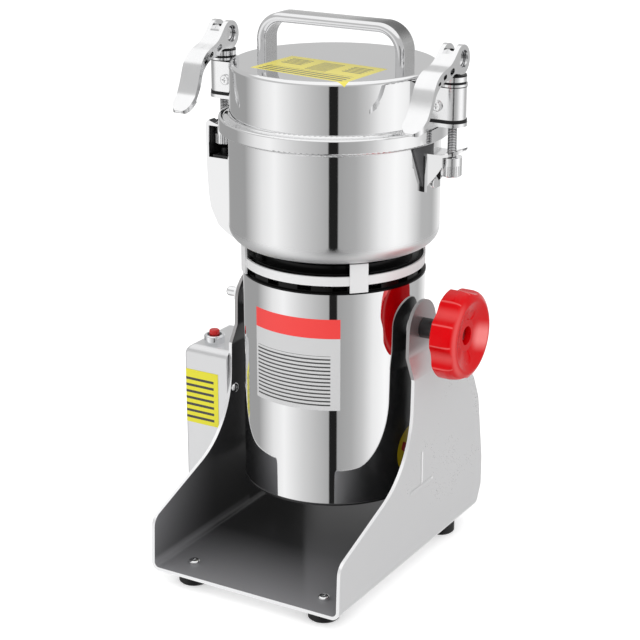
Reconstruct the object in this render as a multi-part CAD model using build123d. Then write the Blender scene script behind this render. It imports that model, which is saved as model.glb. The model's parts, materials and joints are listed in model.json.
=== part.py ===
from build123d import *
from math import cos, degrees, radians, sin, sqrt
import os

# Swing type electric grain mill, millimetres.
# +Z is up, the open front of the stand faces -Y, the red knob is on +X.
# The origin is on the table, under the upright axis of the motor and bowl.

# ---- stand and feet ----
FOOT_HEIGHT = 9.0
FOOT_RADIUS = 9.0
FOOT_EDGE = 0.8
FRONT_FOOT = (18.8, -85.5)  # in from the cheek, y
REAR_FOOT = (13.3, 46.0)
FOOT_SCREW_RADIUS = 2.0
FOOT_SCREW_HEAD_RADIUS = 3.3
FOOT_SCREW_HEAD_HEIGHT = 1.9
FOOT_SCREW_DEPTH = 6.0
HEAD_ROUNDING = 0.6  # share of a screw or rivet head's height that is rounded over
SCREW_RECESS_WIDTH = 0.7
SHEET = 2.0
EAR_CLEARANCE = 3.7
STAND_BEND = 5.0
EAR_INSET = 4.1
EAR_RADIUS = 16.2
EAR_JOGGLE_BOTTOM = 112.0
EAR_JOGGLE_TOP = 125.0
PIVOT_RISE = 138.6
FRONT_Y = -101.5
FRONT_LIP_HEIGHT = 31.5
FRONT_LIP_LEAN = 1.5
SCOOP_END_Y = -18.5
SCOOP_END_HEIGHT = 60.5
SCOOP_RADIUS = 50.0
REAR_OUTLINE = [
    # (y, height above the floor plate, corner radius) from the ear down to the floor
    (17.0, 118.0, 10.0),
    (28.0, 100.0, 8.0),
    (59.0, 93.0, 12.0),
    (68.0, 74.0, 20.0),
    (75.0, 32.0, 20.0),
    (75.0, 14.0, 8.0),
    (68.0, 0.0, 0.0),
]

# ---- control box on the left cheek ----
BOX_DEPTH = 30.2
BOX_FRONT_Y = -20.0
BOX_BACK_Y = 28.0
BOX_BOTTOM_RISE = 20.8
BOX_HEIGHT = 85.9
BOX_WALL = 2.0
BOX_TOP_EDGE = 5.5
BOX_SIDE_EDGE = 1.5
BOX_SCREW_RADIUS = 1.5
BOX_SCREW_BOSS_RADIUS = 3.6
BOX_SCREW_FROM_WALL = 2.5
BOX_SCREW_LENGTH = 9.0
BOX_SCREW_BELOW_TOP = 22.7
BOX_SCREW_ABOVE_BOTTOM = 9.2
RESET_FROM_CHEEK = 17.3
RESET_Y = -6.5
RESET_COLLAR_RADIUS = 6.25
RESET_COLLAR_HEIGHT = 5.0
RESET_NECK_RADIUS = 4.4
RESET_BUTTON_RADIUS = 3.15
RESET_BUTTON_PROUD = 3.0
RESET_BUTTON_LENGTH = 15.0
RESET_TRAVEL = 1.5
BREAKER_SIZE = (13.6, 20.0, 22.0)
ROCKER_Y = 6.0
ROCKER_ABOVE_BOTTOM = 45.2
ROCKER_FRAME_SIZE = (15.0, 21.0)
ROCKER_SIZE = (9.5, 14.0)
ROCKER_FRAME_THICKNESS = 1.6
ROCKER_BODY_DEPTH = 14.0
ROCKER_PROUD = 2.4
ROCKER_PIN_RADIUS = 1.2
ROCKER_SWING_ROOM = 1.3
ROCKER_PIN_PROUD = 1.1
GLAND_ABOVE_BOTTOM = 17.2
GLAND_RADIUS = 7.5
GLAND_NECK_RADIUS = 5.5
GLAND_LENGTH = 16.0
GLAND_BORE_RADIUS = 3.3

# ---- motor housing ----
HOUSING_RADIUS = 52.5
HOUSING_WALL = 1.2
HOUSING_BELOW_PIVOT = 99.1
HOUSING_ABOVE_PIVOT = 26.8
CAP_THICKNESS = 1.0
CAP_PROUD = 0.4
CAP_SKIRT = 6.0
CAP_VENT_RADIUS = 3.5
CAP_VENT_FROM_WALL = 21.3
CAP_VENTS = 8
HEAD_SCREW_RADIUS = 2.0
HEAD_SCREW_HEAD_RADIUS = 3.6
HEAD_SCREW_HEAD_HEIGHT = 1.8
HEAD_SCREW_LENGTH = 12.0
CAP_SCREW_FROM_WALL = 9.3
LIP_HEIGHT = 0.9
VENT_GAP = 5.0
VENT_RING_HEIGHT = 5.2
VENT_RING_WALL = 1.1
VENT_WINDOW = 7.7
TAB_THICKNESS = 1.2
TAB_ANGLE = 11.2
TAB_RISE = 0.3
CORE_WALL = 4.0
CORE_STEPS = [(2.5, 1.0), (7.5, 3.2), (12.5, 3.5)]  # in from the housing, height
CORE_SLOTS = 16
CORE_SLOT_WIDTH = 8.0
CORE_SLOT_HEIGHT = 2.6

# ---- motor ----
SHAFT_RADIUS = 4.0
BEARING_RADIUS = 11.0
BEARING_WIDTH = 7.0
BELL_THICKNESS = 9.0
LOWER_BELL_RISE = 12.0
BELL_POST_RADIUS = 5.0
BELL_WINDOW_RADIUS = 6.0
BELL_WINDOW_PITCH_RADIUS = 28.0
BELL_WINDOWS = 6
COMMUTATOR_RADIUS = 14.0
COMMUTATOR_HEIGHT = 16.0
BRUSH_SIZE = (5.0, 8.0)
BRUSH_LENGTH = 14.0
BRUSH_AIR_GAP = 0.3
BRUSH_WEAR = 0.35
BRUSH_HOLDER_WALL = 2.5
BRUSH_HOLDER_LENGTH = 22.0
STATOR_HEIGHT = 44.0
STATOR_YOKE = 10.0
STATOR_POLE = 13.25
POLE_ANGLE = 110.0
MOTOR_AIR_GAP = 0.6
COIL_FROM_BORE = 1.5
COIL_FROM_YOKE = 3.25
COIL_ANGLE = 56.0
COIL_OVERHANG = 4.0
ARMATURE_SLOTS = 12
ARMATURE_SLOT = (2.4, 8.0)
FAN_FROM_WALL = 11.3
FAN_HUB_RADIUS = 9.0
FAN_HEIGHT = 10.0
FAN_DISC = 2.0
FAN_BLADES = 8
FAN_BLADE_THICKNESS = 2.0
MOTOR_STACK_GAP = 3.0

# ---- tilt pivot and lock knob ----
BOSS_RADIUS = 8.0
PIVOT_BOLT_RADIUS = 3.0
PIVOT_BOLT_HEAD_RADIUS = 4.8
PIVOT_BOLT_HEAD_HEIGHT = 3.5
PIVOT_BOLT_TAIL = 7.5
PIVOT_WASHER_RADIUS = 5.2
PIVOT_WASHER_THICKNESS = 1.7
PIVOT_NUT_FLATS = 10.0
PIVOT_NUT_THICKNESS = 6.0
STUD_RADIUS = 4.0
STUD_NUT_FLATS = 13.0
STUD_NUT_THICKNESS = 6.2
SLEEVE_RADIUS = 5.8
SLEEVE_LENGTH = 16.6
KNOB_RADIUS = 26.3
KNOB_DEPTH = 14.6
KNOB_WALL_DEPTH = 5.0
KNOB_SHOULDER_RADIUS = 24.6
KNOB_CREST_RADIUS = 20.0
KNOB_CREST_LIFT = 0.6  # the crest's corner, before it is rounded, above the knob's depth
KNOB_BACK_EDGE = 1.5
KNOB_SIDE_BEND = 3.0
KNOB_SHOULDER_BEND = 4.0
KNOB_CREST_BEND = 3.0
KNOB_DISH_BEND = 1.0
KNOB_SOCKET_EDGE = 0.3
KNOB_DISH_RADIUS = 9.0
KNOB_DISH_DEPTH = 3.8
KNOB_SOCKET_RADIUS = 5.3
KNOB_SOCKET_DEPTH = 4.5
KNOB_NOTCHES = 6
KNOB_NOTCH_DEPTH = 2.4
KNOB_NOTCH_RADIUS = 24.0
KNOB_NOTCH_LEAN = 11.0
KNOB_NOTCH_START = 46.0
KNOB_STUD_IN_KNOB = 8.0

# ---- bowl ----
BOWL_RADIUS = 60.2
BOWL_WALL = 1.5
BOWL_CORNER = 9.0
BOWL_WALL_HEIGHT = 62.6
RIM_STEP_HEIGHT = 1.3
RIM_STEP_BEND = 1.0
RIM_STEP = 5.0
RIM_BAND_HEIGHT = 6.3
RIM_BEAD_HEIGHT = 1.8
RIM_BEAD = 1.2
GASKET_THICKNESS = 3.2
GASKET_SIDE_GAP = 0.3
SEAL_RADIUS = 10.0
SEAL_HEIGHT = 4.0
SPACER_RADIUS = 7.0
SPACER_HEIGHT = 9.0
BLADE_TIP_GAP = 6.7
BLADE_WIDTH = 16.0
BLADE_THICKNESS = 2.2
BLADE_BEVEL = 1.0
BLADE_TIP_EDGE = 1.0
BLADE_WAIST_BEND = 3.0
BLADE_NUT_FLATS = 14.0
BLADE_NUT_HEIGHT = 11.0
BLADE_NUT_SKIN = 1.0
ROTOR_CLEARANCE = 0.5

# ---- lid and handle ----
LID_INSET = 4.8
LID_WALL = 1.3
LID_RISE = 29.6
LID_EDGE = 2.5
LID_FOOT_GAP = 0.5
LID_FLANGE_DROP = 0.3
LID_FLANGE_BEND = 1.2
LID_FLANGE_EDGE = 1.5
HANDLE_INSET = 14.8
HANDLE_WIDTH = 16.5
HANDLE_THICKNESS = 5.5
HANDLE_RISE = 25.1
HANDLE_BEND = 10.5
HANDLE_EDGE = 1.8

# ---- clamps, one each side ----
ROD_OUTSIDE_RIM = 8.5
ROD_RADIUS = 2.5
CLAMP_PIVOT_INSET = 5.9
CLAMP_PIVOT_RISE = 13.3
CLAMP_RADIUS = 7.35
CLAMP_WALL = 1.4
CLAMP_BELOW_PIVOT = 11.2
CLAMP_ABOVE_PIVOT = 10.1
CLAMP_MOUTH_BOTTOM = 5.4
CLAMP_MOUTH_TOP = 2.8
CLAMP_TOP_PLATE = 1.5
CLAMP_LIP_HEIGHT = 2.0
CLAMP_LIP_PROUD = 0.6
CLAMP_LIP_MOUTH = 4.2
CLAMP_BAND_HEIGHT = 1.8
CLAMP_BAND_PROUD = 0.35
CLAMP_STACK = [
    # (outer radius, height, rubber) of the rings above the clamp body, bottom first
    (7.5, 0.6, True),
    (7.9, 1.3, False),
    (7.0, 1.2, True),
    (7.3, 2.6, False),
    (7.1, 0.8, True),
]
CAM_GAP = 0.25
CLAMP_SCREW_RADIUS = 2.0
CLAMP_SCREW_HEAD_RADIUS = 3.1
CLAMP_SCREW_HEAD_HEIGHT = 1.6
LUG_BASE = 1.6
LUG_HALF_WIDTH = 7.0
LUG_BELOW_PIVOT = 6.6
LUG_ABOVE_PIVOT = 6.4
LUG_EAR_INNER = 4.3
LUG_EAR_OUTER = 5.8
LUG_EAR_RADIUS = 5.0
NUT_RADIUS = 5.8
NUT_HEIGHT = 10.8
NUT_CLEARANCE = 0.3
NUT_SMOOTH = 4.4
NUT_CHAMFER = 0.8
NUT_KNURL_DEPTH = 0.35
NUT_KNURLS = 30
BARREL_RADIUS = 4.78
BARREL_HALF_LENGTH = 3.7
ROD_ABOVE_PIN = 3.0

# ---- cam lever; outline points are (y, z) from its pin, which is pressed down and points to the front ----
LEVER_EAR_RADIUS = 8.1
LEVER_CAM_OFFSET = (-0.8, -0.35)
LEVER_TOP = [
    (-13.8, -0.3),
    (-20.0, -2.2),
    (-26.5, -3.9),
    (-32.2, -7.9),
    (-36.9, -16.2),
    (-42.4, -24.9),
    (-50.0, -30.6),
]
LEVER_UNDER = [
    (-9.0, -6.6),
    (-13.6, -8.1),
    (-22.3, -8.9),
    (-28.6, -11.2),
    (-32.6, -14.8),
    (-36.2, -21.6),
    (-41.4, -27.8),
    (-49.4, -32.6),
]
LEVER_EAR_TOP_ANGLE = 128.0
LEVER_EAR_UNDER_ANGLE = 238.0
LEVER_TOP_RUN_OUT = (-0.75, -0.66)  # the way the top and the underside run into the tip
LEVER_UNDER_RUN_OUT = (-0.9, -0.44)
LEVER_TIP_NOSE = (0.7, 0.8)  # the tip's foremost point: before the top's end, above the underside's end
LEVER_HALF_WIDTH = 5.75
LEVER_TIP_HALF_WIDTH = 6.3
LEVER_FULL_WIDTH_FROM = 0.8  # share of the lever's length
LEVER_PLAN_BEND = 4.0
LEVER_TIP_BEND = 6.2
LEVER_TIP_OVERHANG = 1.0
LEVER_GAP = 5.9
LEVER_GAP_END = -8.7
LEVER_HOLE_RISE = 0.15  # how far each lengthened hole climbs towards the ear
LEVER_HOLES = [((-13.2, -4.7), 1.5, 2.0), ((-21.7, -6.2), 1.2, 1.6), ((-28.2, -8.6), 0.8, 1.6)]
LEFT_LEVER_DROP = 6.5
HINGE_RUN = 0.07

# ---- right catch ----
CATCH_RADIUS = 28.4
CATCH_PLATE = 1.5
CATCH_HALF_WIDTH = 8.2
CATCH_PLATE_END = 8.4
CATCH_SLOT = 6.0
CATCH_SLOT_START = 3.2
CATCH_BACK_HEIGHT = 20.2
CATCH_BACK_GAP = 1.3
CATCH_CHEEK_OUTER = 8.0
CATCH_CHEEK_REACH = 8.9
CATCH_CHEEK_FRONT_HEIGHT = 4.8
RIVET_RADIUS = 1.6
RIVET_HEAD_RADIUS = 2.9
RIVET_HEAD_HEIGHT = 1.2
RIVET_DROPS = [7.0, 16.5]

# ---- left interlock housing; outline points are (out from the bowl's wall, above its underside) ----
LOCK_HALF_WIDTH = 9.0
LOCK_SHEET = 1.3
LOCK_SLANT = 0.6
LOCK_OUTLINE = [
    (20.6, 31.7, 0.0),
    (19.7, 16.7, 6.0),
    (18.4, 8.5, 8.0),
    (13.1, -2.0, 8.0),
    (4.1, -7.5, 8.0),
    (-5.6, -8.9, 0.0),
]
LOCK_TOP_OUT = 21.0
LOCK_TOP_RISE_OUTER = 61.2
LOCK_BEND = 3.5
LOCK_WINDOW = (5.8, 19.0)
LOCK_WINDOW_DROP = 18.0
LOCK_NOTCH_HALF_WIDTH = 6.7
LOCK_NOTCH_RISE = 40.5
LOCK_NOTCH_DEPTH = 3.9
SWITCH_OUT = 17.3
SWITCH_IN = 2.3
SWITCH_HALF_WIDTH = 7.4
SWITCH_HEIGHT = 26.0
SWITCH_TOP_RISE = 40.2
SWITCH_BACK = 3.2
SWITCH_BACK_HEIGHT = 15.5
PLUNGER_RADIUS = 2.5
PLUNGER_PROUD = 3.6
PLUNGER_LENGTH = 12.0
PLUNGER_TRAVEL = 1.2

# ---- fits ----
RUN = 0.08
SEAT = 0.05
FACE_GAP = 0.1

# ---- places worked out from the sizes above ----
FLOOR_UNDER = FOOT_HEIGHT
FLOOR_TOP = FLOOR_UNDER + SHEET
PIVOT_Z = FLOOR_UNDER + PIVOT_RISE
EAR_INNER = HOUSING_RADIUS + EAR_CLEARANCE
EAR_OUTER = EAR_INNER + SHEET
STAND_HALF_WIDTH = EAR_OUTER + EAR_INSET
BOX_BOTTOM = FLOOR_UNDER + BOX_BOTTOM_RISE
BOX_TOP = BOX_BOTTOM + BOX_HEIGHT
BOX_OUTER = STAND_HALF_WIDTH + BOX_DEPTH
RESET_X = -(STAND_HALF_WIDTH + RESET_FROM_CHEEK)
ROCKER_Z = BOX_BOTTOM + ROCKER_ABOVE_BOTTOM
HOUSING_INNER = HOUSING_RADIUS - HOUSING_WALL
CAP_SCREW_PITCH_RADIUS = HOUSING_INNER - CAP_SCREW_FROM_WALL
CAP_VENT_PITCH_RADIUS = HOUSING_INNER - CAP_VENT_FROM_WALL
HOUSING_BOTTOM = PIVOT_Z - HOUSING_BELOW_PIVOT
HOUSING_TOP = PIVOT_Z + HOUSING_ABOVE_PIVOT
VENT_RING_BOTTOM = HOUSING_TOP + VENT_GAP
VENT_RING_TOP = VENT_RING_BOTTOM + VENT_RING_HEIGHT
BOWL_BOTTOM = VENT_RING_TOP + VENT_WINDOW
BOWL_INNER = BOWL_RADIUS - BOWL_WALL
BOWL_FLOOR = BOWL_BOTTOM + BOWL_WALL
BOWL_WALL_TOP = BOWL_BOTTOM + BOWL_WALL_HEIGHT
RIM_BAND_BOTTOM = BOWL_WALL_TOP + RIM_STEP_HEIGHT
RIM_TOP = RIM_BAND_BOTTOM + RIM_BAND_HEIGHT + RIM_BEAD_HEIGHT
RIM_RADIUS = BOWL_RADIUS + RIM_STEP
RIM_INNER = RIM_RADIUS - BOWL_WALL
RIM_SEAT = RIM_BAND_BOTTOM + BOWL_WALL
GASKET_TOP = RIM_SEAT + GASKET_THICKNESS
BLADE_RADIUS = BOWL_INNER - BLADE_TIP_GAP
LID_RADIUS = RIM_INNER - LID_INSET
LID_FOOT_RADIUS = RIM_INNER - LID_FOOT_GAP
LID_TOP = RIM_TOP + LID_RISE
LID_FLANGE_TOP = RIM_TOP - LID_FLANGE_DROP
HANDLE_HALF_SPAN = LID_RADIUS - HANDLE_INSET
HANDLE_TOP = LID_TOP + HANDLE_RISE
ROD_X = RIM_RADIUS + ROD_OUTSIDE_RIM
CLAMP_PIVOT_X = ROD_X - CLAMP_PIVOT_INSET
CLAMP_PIVOT_Z = RIM_TOP + CLAMP_PIVOT_RISE
CLAMP_BOTTOM = CLAMP_PIVOT_Z - CLAMP_BELOW_PIVOT
CLAMP_TOP = CLAMP_PIVOT_Z + CLAMP_ABOVE_PIVOT
CLAMP_STACK_TOP = CLAMP_TOP + sum(height for _, height, _ in CLAMP_STACK)
PIN_Z = CLAMP_STACK_TOP + CAM_GAP + LEVER_EAR_RADIUS - LEVER_CAM_OFFSET[1]
CATCH_Z = CLAMP_PIVOT_Z - CATCH_RADIUS
NUT_TOP = CATCH_Z - NUT_CLEARANCE
NUT_BOTTOM = NUT_TOP - NUT_HEIGHT
SLEEVE_START = EAR_OUTER + FACE_GAP
KNOB_BACK = SLEEVE_START + SLEEVE_LENGTH + FACE_GAP
LOWER_BELL_BOTTOM = HOUSING_BOTTOM + LOWER_BELL_RISE
LOWER_BELL_TOP = LOWER_BELL_BOTTOM + BELL_THICKNESS
COMMUTATOR_BOTTOM = LOWER_BELL_TOP + MOTOR_STACK_GAP
COMMUTATOR_TOP = COMMUTATOR_BOTTOM + COMMUTATOR_HEIGHT
STATOR_BOTTOM = COMMUTATOR_TOP + MOTOR_STACK_GAP + COIL_OVERHANG
STATOR_TOP = STATOR_BOTTOM + STATOR_HEIGHT
YOKE_INNER = HOUSING_INNER - SEAT - STATOR_YOKE
STATOR_BORE_RADIUS = YOKE_INNER - STATOR_POLE
FAN_RADIUS = HOUSING_INNER - FAN_FROM_WALL
FAN_BOTTOM = STATOR_TOP + COIL_OVERHANG + MOTOR_STACK_GAP
FAN_TOP = FAN_BOTTOM + FAN_HEIGHT
UPPER_BELL_TOP = HOUSING_TOP - LIP_HEIGHT
UPPER_BELL_BOTTOM = UPPER_BELL_TOP - BELL_THICKNESS
SPACER_BOTTOM = BOWL_FLOOR + SEAL_HEIGHT + ROTOR_CLEARANCE
BLADE_STACK_TOP = SPACER_BOTTOM + 2 * (SPACER_HEIGHT + BLADE_THICKNESS)
SHAFT_TOP = BLADE_STACK_TOP + BLADE_NUT_HEIGHT - SPACER_RADIUS / 2
LOCK_TOP_OUTER = BOWL_RADIUS + LOCK_TOP_OUT
SWITCH_OUTER = BOWL_RADIUS + SWITCH_OUT
SWITCH_INNER = BOWL_RADIUS + SWITCH_IN
SHAFT_HOLE_RADIUS = (SEAL_RADIUS + SHAFT_RADIUS) / 2

BOTTOM = (Align.CENTER, Align.CENTER, Align.MIN)
UP = (0, 0, 1)
RIGHT = (1, 0, 0)
BACK = (0, 1, 0)


# ---- plain shapes ----
def rod(radius, length, start, along=UP):
    """A round bar from start, length long, along one axis."""
    return Plane(origin=start, z_dir=along) * Cylinder(radius, length, align=BOTTOM)


def tube(outer, inner, length, start, along=UP):
    """A round tube from start, length long, along one axis."""
    return rod(outer, length, start, along) - rod(inner, length, start, along)


def hex_nut(flats, bore, length, start, along=UP):
    """A hexagon nut, flats across, with a plain bore."""
    hexagon = RegularPolygon(flats / 2, 6, major_radius=False)
    blank = Plane(origin=start, z_dir=along) * extrude(hexagon, length)
    return blank - rod(bore, length, start, along)


def block(low, high):
    """A box between its lowest and highest corner."""
    size = [b - a for a, b in zip(low, high)]
    return Pos(*low) * Box(*size, align=(Align.MIN, Align.MIN, Align.MIN))


def outline(points):
    """A flat face from (u, v, corner radius) points."""
    face = make_face(Polyline(*[(u, v) for u, v, _ in points], close=True))
    for u, v, radius in points:
        if radius > 0:
            face = fillet(face.vertices().sort_by_distance((u, v, 0))[0], radius)
    return face


def turned(points):
    """A solid of revolution about the upright axis, from (radius, z, corner radius) points."""
    return revolve(Plane.XZ * outline(points), Axis.Z)


def wedge(angle, reach, low, high, centre=0.0):
    """An upright slice of the given angle about the upright axis, centred on a direction from +X."""
    half = radians(angle / 2)
    tip = reach / cos(half)
    corners = [(0, 0), (tip * cos(half), -tip * sin(half)), (tip * cos(half), tip * sin(half))]
    face = make_face(Polyline(*corners, close=True))
    return Rot(0, 0, centre) * Pos(0, 0, low) * extrude(face, high - low)


def group(shapes):
    """Several separate solids kept as one sub-part."""
    return Compound(children=[solid for shape in shapes for solid in shape.solids()])


def other_side(shape):
    """The same piece on the left, mirrored about the middle plane."""
    return mirror(shape, about=Plane.YZ)


# ---- base ----
def foot_places():
    """(x, y) of the four feet."""
    places = [(STAND_HALF_WIDTH - inset, y) for inset, y in (FRONT_FOOT, REAR_FOOT)]
    return [(side * x, y) for x, y in places for side in (-1, 1)]


def stand_section(inset):
    """Front view of the stand's outside, or of its inside when inset by the sheet."""
    top = PIVOT_Z + EAR_RADIUS
    bend = STAND_BEND - inset
    right = [
        (EAR_OUTER - inset, top, 0.0),
        (EAR_OUTER - inset, FLOOR_UNDER + EAR_JOGGLE_TOP, STAND_BEND),
        (STAND_HALF_WIDTH - inset, FLOOR_UNDER + EAR_JOGGLE_BOTTOM, STAND_BEND),
        (STAND_HALF_WIDTH - inset, FLOOR_UNDER + inset, bend),
    ]
    left = [(-x, z, r) for x, z, r in reversed(right)]
    return outline(right + left)


def stand():
    """One bent sheet: a floor with an open front, and cheeks that step in to the tilt ears."""
    length = -FRONT_Y + max(y for y, _, _ in REAR_OUTLINE)
    trough = extrude(Plane.XZ * (stand_section(0) - stand_section(SHEET)), length, both=True)
    front = [
        (FRONT_Y, 0.0, 0.0),
        (FRONT_Y + FRONT_LIP_LEAN, FRONT_LIP_HEIGHT, 8.0),
        (SCOOP_END_Y, SCOOP_END_HEIGHT, SCOOP_RADIUS),
        (-EAR_RADIUS, PIVOT_RISE, 0.0),
        (EAR_RADIUS, PIVOT_RISE, 0.0),
    ]
    side = outline([(y, z + FLOOR_UNDER, r) for y, z, r in front + REAR_OUTLINE])
    prism = extrude(Plane.YZ * side, STAND_HALF_WIDTH, both=True)
    ears = rod(EAR_RADIUS, 2 * STAND_HALF_WIDTH, (-STAND_HALF_WIDTH, 0, PIVOT_Z), RIGHT)
    body = trough & (prism + ears)
    body -= rod(PIVOT_BOLT_RADIUS + RUN, STAND_HALF_WIDTH, (-STAND_HALF_WIDTH, 0, PIVOT_Z), RIGHT)
    body -= rod(STUD_RADIUS + RUN, STAND_HALF_WIDTH, (0, 0, PIVOT_Z), RIGHT)
    for x, y in foot_places():
        body -= rod(FOOT_SCREW_RADIUS + SEAT, SHEET, (x, y, FLOOR_UNDER))
    for y, z in box_screw_places():
        body -= rod(BOX_SCREW_RADIUS + SEAT, SHEET, (-STAND_HALF_WIDTH, y, z), RIGHT)
    return body


def feet():
    """Four rubber feet with a blind hole for their screws."""
    foot = chamfer(rod(FOOT_RADIUS, FOOT_HEIGHT, (0, 0, 0)).edges(), FOOT_EDGE)
    foot -= rod(FOOT_SCREW_RADIUS + SEAT, FOOT_SCREW_DEPTH, (0, 0, FOOT_HEIGHT - FOOT_SCREW_DEPTH))
    return group([Pos(x, y, 0) * foot for x, y in foot_places()])


def pan_screw(shank, length, head_radius, head_height):
    """A pan head screw that points down, with the underside of its head at the origin."""
    head = rod(head_radius, head_height, (0, 0, 0))
    head = fillet(head.edges().group_by(Axis.Z)[-1], head_height * HEAD_ROUNDING)
    half = SCREW_RECESS_WIDTH / 2
    recess = block((-head_radius / 2, -half, head_height / 2), (head_radius / 2, half, head_height))
    head = head - recess - Rot(0, 0, 90) * recess
    return head + rod(shank, length, (0, 0, -length))


def foot_screws():
    """Pan head screws from the stand's floor down into the feet."""
    screw = pan_screw(
        FOOT_SCREW_RADIUS,
        SHEET + FOOT_SCREW_DEPTH - FACE_GAP,
        FOOT_SCREW_HEAD_RADIUS,
        FOOT_SCREW_HEAD_HEIGHT,
    )
    return group([Pos(x, y, FLOOR_TOP) * screw for x, y in foot_places()])


def box_screw_places():
    """(y, z) of the screws that hold the control box to the cheek."""
    inset = BOX_WALL + BOX_SCREW_FROM_WALL
    front = (BOX_FRONT_Y + inset, BOX_TOP - BOX_SCREW_BELOW_TOP)
    back = (BOX_BACK_Y - inset, BOX_BOTTOM + BOX_SCREW_ABOVE_BOTTOM)
    return [front, back]


def control_box_cover():
    """A hollow cover, open where it meets the cheek, with inner bosses for its screws."""
    shell = block((-BOX_OUTER, BOX_FRONT_Y, BOX_BOTTOM), (-STAND_HALF_WIDTH, BOX_BACK_Y, BOX_TOP))
    corners = shell.edges().filter_by(Axis.Z).group_by(Axis.X)[0]
    shell = fillet(corners, BOX_SIDE_EDGE)
    top_edges = shell.faces().sort_by(Axis.Z)[-1].edges()
    shell = fillet([e for e in top_edges if e.center().X < -STAND_HALF_WIDTH - FACE_GAP], BOX_TOP_EDGE)
    shell -= block(
        (-BOX_OUTER + BOX_WALL, BOX_FRONT_Y + BOX_WALL, BOX_BOTTOM + BOX_WALL),
        (-STAND_HALF_WIDTH, BOX_BACK_Y - BOX_WALL, BOX_TOP - BOX_WALL),
    )
    for y, z in box_screw_places():
        boss = BOX_SCREW_LENGTH + BOX_SCREW_RADIUS / 2
        shell += rod(BOX_SCREW_BOSS_RADIUS, boss, (-STAND_HALF_WIDTH - boss, y, z), RIGHT)
        deep_end = (-STAND_HALF_WIDTH - BOX_SCREW_LENGTH, y, z)
        shell -= rod(BOX_SCREW_RADIUS + SEAT, BOX_SCREW_LENGTH, deep_end, RIGHT)
    shell -= rod(RESET_NECK_RADIUS + SEAT, 2 * BOX_WALL, (RESET_X, RESET_Y, BOX_TOP - 2 * BOX_WALL))
    half_y, half_z = [size / 2 - ROCKER_FRAME_THICKNESS for size in ROCKER_FRAME_SIZE]
    shell -= block(
        (-BOX_OUTER, ROCKER_Y - half_y, ROCKER_Z - half_z),
        (-BOX_OUTER + BOX_WALL, ROCKER_Y + half_y, ROCKER_Z + half_z),
    )
    return shell - rod(GLAND_NECK_RADIUS + SEAT, BOX_WALL, gland_place(-BOX_WALL), BACK)


def gland_place(out):
    """A point on the cord gland's axis, out from the back face of the box."""
    return (-(STAND_HALF_WIDTH + BOX_DEPTH / 2), BOX_BACK_Y + out, BOX_BOTTOM + GLAND_ABOVE_BOTTOM)


def control_box_screws():
    """Screws from inside the cheek into the bosses of the control box."""
    length = SHEET + BOX_SCREW_LENGTH - FACE_GAP
    screw = pan_screw(BOX_SCREW_RADIUS, length, BOX_SCREW_RADIUS * 2, FOOT_SCREW_HEAD_HEIGHT)
    inside = -STAND_HALF_WIDTH + SHEET
    return group([Pos(inside, y, z) * Rot(0, 90, 0) * screw for y, z in box_screw_places()])


def overload_breaker():
    """The breaker's body under the box's top, with a hollow neck for the reset button."""
    half_x, half_y = BREAKER_SIZE[0] / 2, BREAKER_SIZE[1] / 2
    top = BOX_TOP - BOX_WALL
    body = block(
        (RESET_X - half_x, max(RESET_Y - half_y, BOX_FRONT_Y + BOX_WALL), top - BREAKER_SIZE[2]),
        (RESET_X + half_x, RESET_Y + half_y, top),
    )
    body += rod(RESET_NECK_RADIUS, BOX_WALL + RESET_COLLAR_HEIGHT, (RESET_X, RESET_Y, top))
    button_bottom = BOX_TOP + RESET_COLLAR_HEIGHT + RESET_BUTTON_PROUD - RESET_BUTTON_LENGTH
    bore_bottom = button_bottom - RESET_TRAVEL - FACE_GAP
    return body - rod(RESET_BUTTON_RADIUS + RUN, BOX_HEIGHT, (RESET_X, RESET_Y, bore_bottom))


def reset_collar():
    """The steel ring nut around the breaker's neck, on top of the box."""
    ring = rod(RESET_COLLAR_RADIUS, RESET_COLLAR_HEIGHT, (RESET_X, RESET_Y, BOX_TOP))
    ring = fillet(ring.edges().group_by(Axis.Z)[-1], 1.0)
    return ring - rod(RESET_NECK_RADIUS + SEAT, RESET_COLLAR_HEIGHT, (RESET_X, RESET_Y, BOX_TOP))


def reset_button():
    """The push button that slides in the breaker's neck."""
    top = BOX_TOP + RESET_COLLAR_HEIGHT + RESET_BUTTON_PROUD
    button = rod(RESET_BUTTON_RADIUS, RESET_BUTTON_LENGTH, (RESET_X, RESET_Y, top - RESET_BUTTON_LENGTH))
    return fillet(button.edges().group_by(Axis.Z)[-1], 1.0)


def rocker_frame():
    """The switch body in the box's outer wall, with a bezel outside and a pocket for the rocker."""
    half_y, half_z = [size / 2 for size in ROCKER_FRAME_SIZE]
    bezel = block(
        (-BOX_OUTER - ROCKER_FRAME_THICKNESS, ROCKER_Y - half_y, ROCKER_Z - half_z),
        (-BOX_OUTER, ROCKER_Y + half_y, ROCKER_Z + half_z),
    )
    inset = ROCKER_FRAME_THICKNESS + SEAT
    body = block(
        (-BOX_OUTER, ROCKER_Y - half_y + inset, ROCKER_Z - half_z + inset),
        (-BOX_OUTER + ROCKER_BODY_DEPTH, ROCKER_Y + half_y - inset, ROCKER_Z + half_z - inset),
    )
    pocket_y = ROCKER_SIZE[0] / 2 + FACE_GAP
    pocket_z = ROCKER_SIZE[1] / 2 + ROCKER_SWING_ROOM
    pocket = block(
        (-BOX_OUTER - ROCKER_FRAME_THICKNESS, ROCKER_Y - pocket_y, ROCKER_Z - pocket_z),
        (-BOX_OUTER + ROCKER_BODY_DEPTH / 2, ROCKER_Y + pocket_y, ROCKER_Z + pocket_z),
    )
    return bezel + body - pocket - rocker_pin(RUN)


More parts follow.
